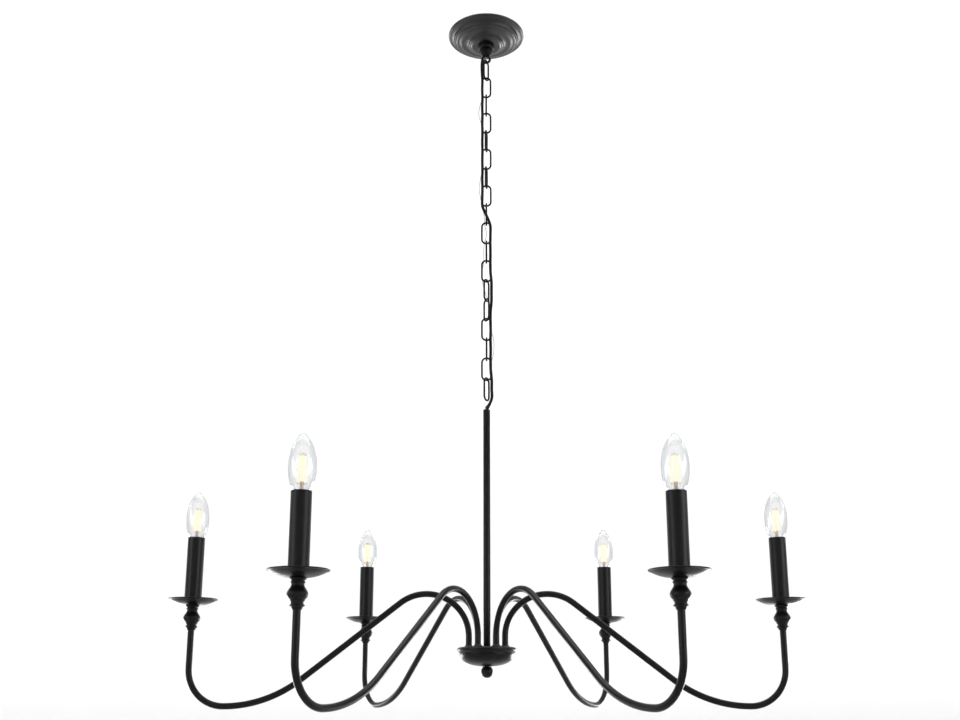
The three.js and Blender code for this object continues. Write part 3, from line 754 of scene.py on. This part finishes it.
bore_wireways(canopy_loop, slice(None, 6))
canopy_loop.data.materials.append(satin_black)
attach(canopy_loop, "mounting")
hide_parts("collar_loop")


# ---- Chain -------------------------------------------------------------------------------------
# Links of black steel wire bent to an oval. The ends of the wire meet in the middle of one side.
# Every link hangs in the one above it and is turned about the chain by its own amount.
bpy.ops.object.select_all(action="DESELECT")
bpy.ops.mesh.primitive_torus_add(
    major_segments=48,
    minor_segments=18,
    major_radius=(link_width - link_wire) / 2,
    minor_radius=link_wire / 2,
    rotation=(math.pi / 2, 0, 0),
)
pattern_link = bpy.context.object
pattern_link.name = "pattern_link"
bpy.ops.object.transform_apply(location=True, rotation=True, scale=True)
side_length = link_length - link_width
seam_depth = 0.00022
bpy.ops.object.mode_set(mode="EDIT")
bpy.ops.mesh.select_mode(type="VERT")
for half in (1, -1):
    bpy.ops.mesh.select_all(action="DESELECT")
    bpy.ops.object.mode_set(mode="OBJECT")
    for vertex in pattern_link.data.vertices:
        vertex.select = vertex.co.z * half > 1e-6
    bpy.ops.object.mode_set(mode="EDIT")
    bpy.ops.transform.translate(value=(0, 0, half * side_length / 2))
# The butt joint: a fine groove round the wire, halfway down one straight side.
for height in (-0.0006, -0.0002, 0.0002, 0.0006):
    bpy.ops.mesh.select_all(action="SELECT")
    bpy.ops.mesh.bisect(plane_co=(0, 0, height), plane_no=(0, 0, 1))
bpy.ops.mesh.select_all(action="DESELECT")
bpy.ops.object.mode_set(mode="OBJECT")
for vertex in pattern_link.data.vertices:
    vertex.select = vertex.co.x > 0 and abs(vertex.co.z) < 0.0003
bpy.ops.object.mode_set(mode="EDIT")
bpy.ops.transform.shrink_fatten(value=-seam_depth)
bpy.ops.mesh.select_all(action="SELECT")
bpy.ops.mesh.normals_make_consistent(inside=False)
bpy.ops.object.mode_set(mode="OBJECT")
bpy.ops.object.shade_smooth()

chain_black, place = new_finish("chain_black")
drift = place.noise(60, 3.0)
peel = place.noise(900, 2.0)
rubbed = place.noise(240, 4.0, 0.65).clamp(0.56, 0.74)
coat_with(
    place,
    {
        "Base Color": (rubbed * 0.6).mix((0.0025, 0.0024, 0.0024), (0.022, 0.013, 0.010)),
        "Roughness": 0.36 + drift * 0.12,
        "Metallic": rubbed * 0.4,
        "Specular IOR Level": 0.1,
    },
    peel,
    0.06,
    0.0003,
)
pattern_link.data.materials.append(chain_black)

total_turn = 0
for index, turn in enumerate(link_turns):
    total_turn += math.radians(turn)
    name = f"chain_link_{index + 1:02d}"
    link = bpy.data.objects.new(f"link_{index + 1:02d}", pattern_link.data.copy())
    bpy.context.collection.objects.link(link)
    where = Matrix.Translation((0, 0, link_middle(index))) @ Matrix.Rotation(total_turn, 4, "Z")
    link.data.transform(where)
    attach(link, name)
    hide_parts(name)
bpy.data.objects.remove(pattern_link)


# ---- Stem and its loop -------------------------------------------------------------------------
# A straight steel tube, and a turned cap with a ring that screws on its top. Inside, a reduced
# rod goes on down through the hub to the finial.
stem_radius = 0.0055
tube_wall = 0.0011
rod_bore = 0.0019
stem_outline = [
    (rod_bore, stem_low.z),
    (0.0028, stem_low.z),
    (0.0030, stem_low.z + 0.0004),
    (0.0030, hub_top + 0.0003),
    (stem_radius, hub_top + 0.0003),
    (stem_radius, hub_top + 0.060),
    (stem_radius, stem_top),
    (stem_radius - tube_wall, stem_top),
    (stem_radius - tube_wall, hub_top + 0.006),
    (rod_bore, hub_top + 0.004),
    (rod_bore, stem_low.z),
]
stem = ring_by_ring("stem_tube", stem_outline, 40, closed=True)
soften(stem, 0.00012)
stem.data.materials.append(satin_black)
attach(stem, "frame")
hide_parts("stem")

cap_radius = 0.0081
stem_eye_wire = 0.0034
cap_outline = [
    (stem_radius + 0.0003, cap_bottom),
    (cap_radius - 0.0008, cap_bottom),
    (cap_radius - 0.0002, cap_bottom + 0.0003),
    (cap_radius, cap_bottom + 0.0009),
    (cap_radius, cap_bottom + 0.0022),
    (cap_radius - 0.0004, cap_bottom + 0.0030),
    (cap_radius - 0.0012, cap_top - 0.0003),
    (0.0060, cap_top),
    (0.0056, cap_top + 0.0008),
    (0.0057, cap_top + 0.0020),
    (0.0050, cap_top + 0.0034),
    (0.0030, cap_top + 0.0040),
    (0.0008, cap_top + 0.0041),
    (0.0008, cap_bottom + 0.0020),
    (stem_radius + 0.0003, cap_bottom + 0.0020),
    (stem_radius + 0.0003, cap_bottom),
]
stem_cap = ring_by_ring("stem_cap", cap_outline, 48, closed=True)
join_solids(stem_cap, bar_ring("eye", stem_eye_width, stem_eye_wire, stem_eye_middle))
bore_wireways(stem_cap, slice(-5, None))
stem_cap.data.materials.append(satin_black)
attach(stem_cap, "frame")
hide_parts("stem_loop")


# ---- Hub ---------------------------------------------------------------------------------------
# A dished plate with a rolled edge that carries the arms, a spun bowl under it that hides the
# wiring, and a ball finial that screws onto the rod and holds the bowl up.
plate_radius = hub_high.x
plate_bottom = hub_low.z
plate_thickness = 0.0034
rod_hole = 0.0034
plate_outline = [
    (rod_hole, hub_top - plate_thickness),
    (0.0036, hub_top - 0.0001),
    (0.0300, hub_top),
    (plate_radius - 0.0070, hub_top),
    (plate_radius - 0.0036, hub_top - 0.0005),
    (plate_radius - 0.0015, hub_top - 0.0016),
    (plate_radius - 0.0003, hub_top - 0.0032),
    (plate_radius, hub_top - 0.0047),
    (plate_radius - 0.0006, hub_top - 0.0062),
    (plate_radius - 0.0019, hub_top - 0.0075),
    (plate_radius - 0.0038, plate_bottom),
    (plate_radius - 0.0062, plate_bottom + 0.0003),
    (plate_radius - 0.0078, hub_top - 0.0062),
    (plate_radius - 0.0098, hub_top - plate_thickness),
    (rod_hole, hub_top - plate_thickness),
]
hub_plate = ring_by_ring("arm_plate", plate_outline, 96, closed=True)
arm_count = 6
arm_radius = 0.00475
arm_fit = 0.0002
arm_root = 0.0275
for number in range(arm_count):
    turn = math.tau * number / arm_count
    hole_at = (arm_root * math.cos(turn), arm_root * math.sin(turn), hub_top)
    bpy.ops.object.select_all(action="DESELECT")
    bpy.ops.mesh.primitive_cylinder_add(
        vertices=32, radius=arm_radius + arm_fit, depth=0.02, location=hole_at
    )
    join_solids(hub_plate, bpy.context.object, "DIFFERENCE")
bpy.context.view_layer.objects.active = hub_plate
hub_plate.select_set(True)
bpy.ops.object.shade_smooth_by_angle(angle=math.radians(40))
hub_plate.data.materials.append(satin_black)
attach(hub_plate, "frame")
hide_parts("hub_plate")

bowl_low, bowl_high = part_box("hub_bowl")
bowl_radius = bowl_high.x
bowl_depth = bowl_high.z - bowl_low.z
bowl_wall = 0.0014
fullness = 2.3


def bowl_side(radius, depth, steps=18):
    """A bowl's side from its top edge down to the rod's hole."""
    side = []
    for step in range(steps + 1):
        turn = math.pi / 2 * step / steps
        across = max(radius * math.cos(turn) ** (2 / fullness), rod_hole)
        side.append((across, bowl_high.z - depth * math.sin(turn) ** (2 / fullness)))
    return side


outer_side = bowl_side(bowl_radius, bowl_depth)
inner_side = bowl_side(bowl_radius - bowl_wall, bowl_depth - bowl_wall)
bowl_outline = [*outer_side, *reversed(inner_side), outer_side[0]]
hub_bowl = ring_by_ring("wiring_bowl", bowl_outline, 96, closed=True)
soften(hub_bowl, 0.0003, 50)
hub_bowl.data.materials.append(satin_black)
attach(hub_bowl, "hub_bowl")
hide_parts("hub_bowl")

finial_low, finial_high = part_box("finial")
ball_radius = finial_high.x
ball_middle = finial_low.z + ball_radius
neck_half = 0.0060
neck_angle = math.asin(neck_half / ball_radius)
finial_outline = [
    (rod_hole, finial_high.z - 0.0090),
    (rod_hole, finial_high.z),
    (0.0066, finial_high.z),
    (0.0069, finial_high.z - 0.0003),
    (0.0068, finial_high.z - 0.0010),
    (0.0061, finial_high.z - 0.0015),
]
for step in range(1, 21):
    turn = neck_angle + (math.pi - neck_angle) * step / 21
    finial_outline.append((ball_radius * math.sin(turn), ball_middle + ball_radius * math.cos(turn)))
finial = ring_by_ring("ball_finial", finial_outline, 64)
soften(finial, 0.00015, 50)
finial.data.materials.append(satin_black)
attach(finial, "finial")
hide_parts("finial")


# ---- Arms --------------------------------------------------------------------------------------
# Steel tubes bent on a former: up out of the plate, over an arch, straight down a slope, level
# at the foot of a long sweep, and up through a tight bend to the candle. A small weld bead closes
# each root.
arm_reach = 0.450
arch_radius = 0.065
arch_height = hub_top + 0.015
slope = math.radians(37.7)
sweep_radius = 0.188
end_bend_radius = 0.055
cup_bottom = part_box("cup_1")[0].z
arm_start = hub_top - 0.0084

arch_middle = arm_root + arch_radius
foot_x = arm_reach - end_bend_radius
slope_start = (arch_middle + arch_radius * math.sin(slope), arch_height + arch_radius * math.cos(slope))
slope_end_x = foot_x - sweep_radius * math.sin(slope)
slope_end_z = slope_start[1] - (slope_end_x - slope_start[0]) * math.tan(slope)
foot_z = slope_end_z - sweep_radius * (1 - math.cos(slope))
bpy.ops.object.select_all(action="DESELECT")
bpy.ops.mesh.primitive_circle_add(vertices=28, radius=arm_radius, location=(arm_root, 0, arm_start))
bent_arm = bpy.context.object
bent_arm.name = "bent_arm"
bpy.ops.object.transform_apply(location=True, rotation=True, scale=True)
bpy.ops.object.mode_set(mode="EDIT")
bpy.ops.mesh.select_mode(type="EDGE")
bpy.ops.mesh.select_all(action="SELECT")
bpy.ops.mesh.extrude_edges_move(TRANSFORM_OT_translate={"value": (0, 0, arch_height - arm_start)})
bpy.ops.mesh.spin(
    steps=40, angle=math.pi / 2 + slope, center=(arch_middle, 0, arch_height), axis=(0, -1, 0)
)
down_slope = (slope_end_x - slope_start[0], 0, slope_end_z - slope_start[1])
bpy.ops.mesh.extrude_edges_move(TRANSFORM_OT_translate={"value": down_slope})
bpy.ops.mesh.spin(steps=20, angle=slope, center=(foot_x, 0, foot_z + sweep_radius), axis=(0, 1, 0))
bpy.ops.mesh.spin(
    steps=28, angle=math.pi / 2, center=(foot_x, 0, foot_z + end_bend_radius), axis=(0, 1, 0)
)
last_rise = cup_bottom + 0.008 - (foot_z + end_bend_radius)
bpy.ops.mesh.extrude_edges_move(TRANSFORM_OT_translate={"value": (0, 0, last_rise)})
bpy.ops.mesh.select_all(action="DESELECT")
bpy.ops.mesh.select_mode(type="VERT")
bpy.ops.mesh.select_non_manifold()
bpy.ops.mesh.fill_holes(sides=0)
bpy.ops.mesh.select_all(action="SELECT")
bpy.ops.mesh.normals_make_consistent(inside=False)
bpy.ops.object.mode_set(mode="OBJECT")
bpy.ops.object.shade_smooth_by_angle(angle=math.radians(40))


def round_the_ring(pattern, finish, out, name, body, node=None):
    """Finishes a pattern piece, moves it out from the middle along the first arm, and copies it to
    all six places round the stem, each copy with its own mesh. The pattern itself goes."""
    pattern.data.transform(Matrix.Translation((out, 0, 0)))
    pattern.data.materials.append(finish)
    for number in range(arm_count):
        copy = bpy.data.objects.new(f"{name}_{number + 1}", pattern.data.copy())
        bpy.context.collection.objects.link(copy)
        copy.data.transform(Matrix.Rotation(math.tau * number / arm_count, 4, "Z"))
        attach(copy, body.format(number + 1))
        if node:
            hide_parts(f"{node}_{number + 1}")
    bpy.data.objects.remove(pattern)


round_the_ring(bent_arm, satin_black, 0, "bent_arm", "frame", "arm")

bead_outline = [
    (arm_radius + 0.0001, hub_top - 0.0002),
    (arm_radius + 0.0026, hub_top + 0.0001),
    (arm_radius + 0.0022, hub_top + 0.0009),
    (arm_radius + 0.0013, hub_top + 0.0016),
    (arm_radius + 0.0006, hub_top + 0.0026),
    (arm_radius + 0.0001, hub_top + 0.0030),
    (arm_radius + 0.0001, hub_top - 0.0002),
]
weld_bead = ring_by_ring("weld_bead", bead_outline, 32, closed=True)
bpy.ops.object.shade_smooth()
round_the_ring(weld_bead, satin_black, arm_root, "weld_bead", "frame")


# ---- Turned cups -------------------------------------------------------------------------------
# Turned steel or brass under the same paint. Each screws onto the end of an arm, and its top is
# the seat for the drip dish. A threaded spigot goes up through the dish.
cup_top = cup_bottom + 0.0372
spigot_top = cup_top + 0.0070
spigot_radius = 0.0050
spigot_bore = 0.0026


def at_share(rows):
    """Outline points from rows of (share of the cup's height, radius)."""
    return [(radius, cup_bottom + share * (cup_top - cup_bottom)) for share, radius in rows]


cup_outline = [(arm_radius + arm_fit, cup_bottom)] + at_share(
    [
        (0.000, 0.0057),
        (0.030, 0.0062),
        (0.070, 0.0068),
        (0.100, 0.0073),
        (0.115, 0.0086),
        (0.130, 0.0092),
        (0.150, 0.0091),
        (0.165, 0.0084),
        (0.180, 0.0077),
        (0.215, 0.0075),
        (0.250, 0.0078),
        (0.270, 0.0086),
        (0.290, 0.0090),
        (0.305, 0.0088),
        (0.320, 0.0092),
        (0.350, 0.0102),
        (0.385, 0.0114),
        (0.430, 0.0123),
        (0.480, 0.0128),
        (0.530, 0.0126),
        (0.580, 0.0119),
        (0.630, 0.0108),
        (0.680, 0.0096),
        (0.720, 0.0086),
        (0.760, 0.0080),
        (0.800, 0.0078),
        (0.830, 0.0079),
        (0.845, 0.0086),
        (0.860, 0.0090),
        (0.880, 0.0090),
        (0.895, 0.0085),
        (0.910, 0.0081),
        (0.930, 0.0082),
        (0.950, 0.0090),
        (0.970, 0.0100),
        (0.990, 0.0104),
        (1.000, 0.0103),
    ]
)
cup_outline += [
    (spigot_radius, cup_top),
    (spigot_radius, cup_top + 0.0066),
    (0.0046, spigot_top),
    (spigot_bore, spigot_top),
    (spigot_bore, cup_bottom + 0.0120),
    (arm_radius + arm_fit, cup_bottom + 0.0083),
    (arm_radius + arm_fit, cup_bottom),
]
turned_cup = ring_by_ring("turned_cup", cup_outline, 44, closed=True)
bpy.ops.object.shade_smooth_by_angle(angle=math.radians(42))
round_the_ring(turned_cup, satin_black, arm_reach, "turned_cup", "frame", "cup")


# ---- Drip dishes -------------------------------------------------------------------------------
# Bobeches: shallow dishes pressed from sheet steel, with a rolled bead round the rim.
dish_low, dish_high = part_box("bobeche_1")
dish_radius = (dish_high.x - dish_low.x) / 2
dish_rim = hub_top + 0.072
dish_depth = 0.0095
dish_wall = 0.0011
dish_hole = 0.0054
bead_radius = 0.0011


def dish_floor(across):
    """How far below its rim the dish's underside lies, at a distance from its middle."""
    return dish_depth * (1 - min(across / dish_radius, 1) ** 2.6)


dish_outline = []
for step in range(15):
    across = dish_hole + (dish_radius - 0.0014 - dish_hole) * step / 14
    dish_outline.append((across, dish_rim - dish_floor(across)))
for step in range(1, 8):
    turn = math.radians(-70 + 220 * step / 8)
    across = dish_radius - bead_radius + bead_radius * math.cos(turn)
    dish_outline.append((across, dish_rim - 0.0003 + 0.0010 * math.sin(turn)))
for step in range(13):
    across = dish_radius - 0.0032 - (dish_radius - 0.0032 - dish_hole) * step / 12
    dish_outline.append((across, dish_rim - dish_floor(across) + dish_wall))
dish_outline.append(dish_outline[0])
drip_dish = ring_by_ring("drip_dish", dish_outline, 96, closed=True)
bpy.ops.object.shade_smooth_by_angle(angle=math.radians(45))
round_the_ring(drip_dish, satin_black, arm_reach, "drip_dish", "frame", "bobeche")


# ---- Candle sleeves and sockets ----------------------------------------------------------------
# Thin steel tubes in the same black, slipped over the lamp sockets. The socket is a moulded black
# shell with a brass screw lining, and stands on the cup's spigot inside the sleeve.
sleeve_low, sleeve_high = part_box("candle_sleeve_1")
sleeve_radius = (sleeve_high.x - sleeve_low.x) / 2
sleeve_bottom, sleeve_top = sleeve_low.z, sleeve_high.z
sleeve_wall = 0.0012
sleeve_outline = [
    (sleeve_radius - sleeve_wall, sleeve_bottom),
    (sleeve_radius, sleeve_bottom),
    (sleeve_radius, sleeve_bottom + 0.02),
    (sleeve_radius, sleeve_top - 0.0004),
    (sleeve_radius - 0.0003, sleeve_top),
    (sleeve_radius - 0.0011, sleeve_top),
    (sleeve_radius - sleeve_wall, sleeve_top - 0.0003),
    (sleeve_radius - sleeve_wall, sleeve_bottom),
]
candle_sleeve = ring_by_ring("candle_sleeve", sleeve_outline, 56, closed=True)
bpy.ops.object.shade_smooth_by_angle(angle=math.radians(30))
round_the_ring(candle_sleeve, satin_black, arm_reach, "sleeve", "frame", "candle_sleeve")

black_moulding, place = new_finish("black_moulding")
grain = place.noise(1200, 2.0)
coat_with(
    place,
    {
        "Base Color": grain.mix((0.008, 0.008, 0.008), (0.014, 0.014, 0.014)),
        "Roughness": 0.5 + grain * 0.1,
    },
    grain,
    0.1,
    0.0002,
)
brass_lining, place = new_finish("brass_lining")
tarnish = place.noise(500, 3.0)
coat_with(
    place,
    {
        "Base Color": tarnish.mix((0.62, 0.44, 0.16), (0.80, 0.62, 0.28)),
        "Metallic": 1.0,
        "Roughness": 0.25 + tarnish * 0.15,
    },
)
bulb_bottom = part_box("bulb_1")[0].z
socket_bottom = bulb_bottom - 0.0030
wire_hole = 0.0030
socket_top = sleeve_top - 0.0085
socket_outline = [
    (wire_hole, socket_bottom),
    (0.0098, socket_bottom),
    (0.0103, bulb_bottom - 0.0022),
    (0.0103, socket_top - 0.0008),
    (0.0099, socket_top),
    (0.0079, socket_top),
    (0.0077, socket_top - 0.0004),
    (0.0077, bulb_bottom - 0.0006),
    (wire_hole, bulb_bottom - 0.0006),
    (wire_hole, socket_bottom),
]
lamp_socket = ring_by_ring("lamp_socket", socket_outline, 40, closed=True)
bpy.ops.object.shade_smooth_by_angle(angle=math.radians(35))
round_the_ring(lamp_socket, black_moulding, arm_reach, "lamp_socket", "frame")

lining_outline = []
for step in range(13):
    height = bulb_bottom + 0.003 + 0.0015 * step
    lining_outline.append((0.0076 if step % 2 else 0.0072, height))
lining_outline += [(radius - 0.0003, height) for radius, height in reversed(lining_outline)]
lining_outline.append(lining_outline[0])
screw_lining = ring_by_ring("screw_lining", lining_outline, 36, closed=True)
bpy.ops.object.shade_smooth()
round_the_ring(screw_lining, brass_lining, arm_reach, "screw_lining", "frame")


# ---- Bulbs -------------------------------------------------------------------------------------
# Clear torpedo filament bulbs. Four straight filaments stand round a glass stem inside a thin
# envelope, and a nickel plated screw base is down in the sleeve.
def smooth_outline(rows, steps):
    """A smooth line through (radius, height) rows."""
    points = smooth_route([(radius, 0, height) for radius, height in rows], steps)
    return [(max(point.x, 0.0), point.z) for point in points]


envelope_rows = [
    (0.0070, sleeve_top - 0.0088),
    (0.0074, sleeve_top - 0.0060),
    (0.0086, sleeve_top - 0.0030),
    (0.0104, sleeve_top + 0.0012),
    (0.0133, sleeve_top + 0.0058),
    (0.0152, sleeve_top + 0.0104),
    (0.0164, sleeve_top + 0.0155),
    (0.0172, sleeve_top + 0.0215),
    (0.0175, sleeve_top + 0.0300),
    (0.0171, sleeve_top + 0.0380),
    (0.0161, sleeve_top + 0.0445),
    (0.0145, sleeve_top + 0.0515),
    (0.0125, sleeve_top + 0.0567),
    (0.0102, sleeve_top + 0.0612),
    (0.0078, sleeve_top + 0.0650),
    (0.0053, sleeve_top + 0.0681),
    (0.0030, sleeve_top + 0.0703),
    (0.0014, sleeve_top + 0.0713),
]
envelope_outline = smooth_outline(envelope_rows, 54)
bulb_glass = ring_by_ring("bulb_glass", envelope_outline, 64)
# The envelope is open at its foot, where the closing face is taken away again.
bpy.ops.object.mode_set(mode="EDIT")
bpy.ops.mesh.select_mode(type="FACE")
bpy.ops.mesh.select_all(action="DESELECT")
bpy.ops.object.mode_set(mode="OBJECT")
for face in bulb_glass.data.polygons:
    face.select = len(face.vertices) > 8 and face.center.z < sleeve_top
bpy.ops.object.mode_set(mode="EDIT")
bpy.ops.mesh.delete(type="ONLY_FACE")
bpy.ops.object.mode_set(mode="OBJECT")
wall = bulb_glass.modifiers.new("wall", "SOLIDIFY")
wall.thickness = 0.0006
wall.offset = -1
bpy.ops.object.modifier_apply(modifier=wall.name)
bpy.ops.object.shade_smooth()

clear_glass, place = new_finish("clear_glass")
ripple = place.noise(60, 2.0)
# Painted shade: the glass's colour goes grey where its surface turns edge-on, in place of the darker
# reflections and refraction seen at a bulb's edges.
painted_edge_shade = place.node("ShaderNodeLayerWeight", None, {"Blend": 0.35}, output=1)
coat_with(
    place,
    {
        "Base Color": painted_edge_shade.mix((0.945, 0.950, 0.955), (0.44, 0.46, 0.48)),
        "Roughness": 0.01 + ripple * 0.02,
        "IOR": 1.45,
        "Transmission Weight": 1.0,
    },
    ripple,
    0.02,
    0.0005,
)
round_the_ring(bulb_glass, clear_glass, arm_reach, "bulb_glass", "bulb_{}", "bulb")

nickel_base, place = new_finish("nickel_base")
marks = place.noise(420, 3.0)
coat_with(
    place,
    {
        "Base Color": marks.mix((0.55, 0.53, 0.49), (0.70, 0.68, 0.64)),
        "Metallic": 1.0,
        "Roughness": 0.22 + marks * 0.16,
    },
)
thread_rows = [
    (0.0012, bulb_bottom),
    (0.0034, bulb_bottom + 0.0001),
    (0.0040, bulb_bottom + 0.0010),
    (0.0058, bulb_bottom + 0.0022),
]
for step in range(21):
    height = bulb_bottom + 0.0030 + 0.0008 * step
    thread_rows.append((0.0062 + 0.0004 * math.cos(math.pi * step / 2), height))
thread_rows += [
    (0.0066, bulb_bottom + 0.0200),
    (0.0072, bulb_bottom + 0.0208),
    (0.0074, bulb_bottom + 0.0225),
    (0.0060, bulb_bottom + 0.0226),
]
screw_base = ring_by_ring("screw_base", thread_rows, 40)
bpy.ops.object.shade_smooth_by_angle(angle=math.radians(50))
round_the_ring(screw_base, nickel_base, arm_reach, "screw_base", "bulb_{}")

# The glass stem flares at its foot and is pinched flat and rosy at the top, round the lead wires.
stem_rows = [
    (0.0058, sleeve_top - 0.0074),
    (0.0046, sleeve_top - 0.0050),
    (0.0032, sleeve_top - 0.0020),
    (0.0026, sleeve_top + 0.0020),
    (0.0024, sleeve_top + 0.0070),
    (0.0027, sleeve_top + 0.0092),
    (0.0021, sleeve_top + 0.0112),
    (0.0010, sleeve_top + 0.0118),
]
glass_stem = ring_by_ring("glass_stem", smooth_outline(stem_rows, 24), 28)
bpy.ops.object.shade_smooth_by_angle(angle=math.radians(60))
rosy_glass, place = new_finish("rosy_glass")
streaks = place.noise(300, 2.0)
coat_with(
    place,
    {
        "Base Color": streaks.mix((0.80, 0.62, 0.54), (0.92, 0.82, 0.74)),
        "Roughness": 0.12 + streaks * 0.1,
        "Transmission Weight": 0.5,
        "IOR": 1.45,
    },
)
round_the_ring(glass_stem, rosy_glass, arm_reach, "glass_stem", "bulb_{}")

filament_foot = sleeve_top + 0.0105
filament_head = sleeve_top + 0.0432
filament_radius = 0.0010
tip_radius = 0.0007
lead_radius = 0.0003
glowing_phosphor, place = new_finish("glowing_phosphor")
dots = place.noise(700, 1.0)
coat_with(
    place,
    {
        "Base Color": (0.45, 0.36, 0.20, 1),
        "Roughness": 0.6,
        "Emission Color": dots.mix((1.0, 0.76, 0.42), (1.0, 0.86, 0.58)),
        "Emission Strength": 1.1,
    },
)
lead_metal, place = new_finish("lead_metal")
shine = place.noise(800, 1.0)
coat_with(
    place,
    {
        "Base Color": shine.mix((0.55, 0.44, 0.30), (0.78, 0.68, 0.52)),
        "Metallic": 0.8,
        "Roughness": 0.3 + shine * 0.1,
    },
)


def standing_rod(name, foot, head, radius, sides=12):
    """A straight rod with rounded ends, from foot to head."""
    foot, head = Vector(foot), Vector(head)
    length = (head - foot).length
    outline = [(radius * 0.5, 0), (radius, radius * 0.6)]
    outline += [(radius, length - radius * 0.6), (radius * 0.5, length)]
    rod = ring_by_ring(name, outline, sides)
    bpy.ops.object.shade_smooth_by_angle(angle=math.radians(60))
    lean = (head - foot).to_track_quat("Z", "Y").to_matrix().to_4x4()
    rod.data.transform(Matrix.Translation(foot) @ lean)
    return rod


def join_pieces(pieces, name):
    """Makes several pieces one object."""
    bpy.ops.object.select_all(action="DESELECT")
    for piece in pieces:
        piece.select_set(True)
    bpy.context.view_layer.objects.active = pieces[0]
    bpy.ops.object.join()
    joined = bpy.context.object
    joined.name = name
    return joined


filaments, leads = [], []
for quarter in range(4):
    turn = math.radians(45 + 90 * quarter)
    out = Vector((math.cos(turn), math.sin(turn), 0))
    foot = Vector((arm_reach, 0, filament_foot)) + out * 0.0052
    head = Vector((arm_reach, 0, filament_head)) + out * 0.0036
    filaments.append(standing_rod("strip", foot, head, filament_radius))
    along = (head - foot).normalized()
    leads.append(standing_rod("tip", head - along * 0.0002, head + along * 0.0024, tip_radius, 8))
    leads.append(standing_rod("tip", foot - along * 0.0024, foot + along * 0.0002, tip_radius, 8))
    ring_at = Vector((arm_reach, 0, sleeve_top + 0.0090))
    leads.append(standing_rod("lead", ring_at + out * 0.0020, foot - along * 0.0020, lead_radius, 6))
    meet_at = Vector((arm_reach, 0, head.z + 0.0040))
    leads.append(standing_rod("lead", head + along * 0.0020, meet_at, lead_radius, 6))
filament_set = join_pieces(filaments, "filaments")
lead_set = join_pieces(leads, "lead_wires")
round_the_ring(filament_set, glowing_phosphor, 0, "filaments", "bulb_{}")
round_the_ring(lead_set, lead_metal, 0, "lead_wires", "bulb_{}")
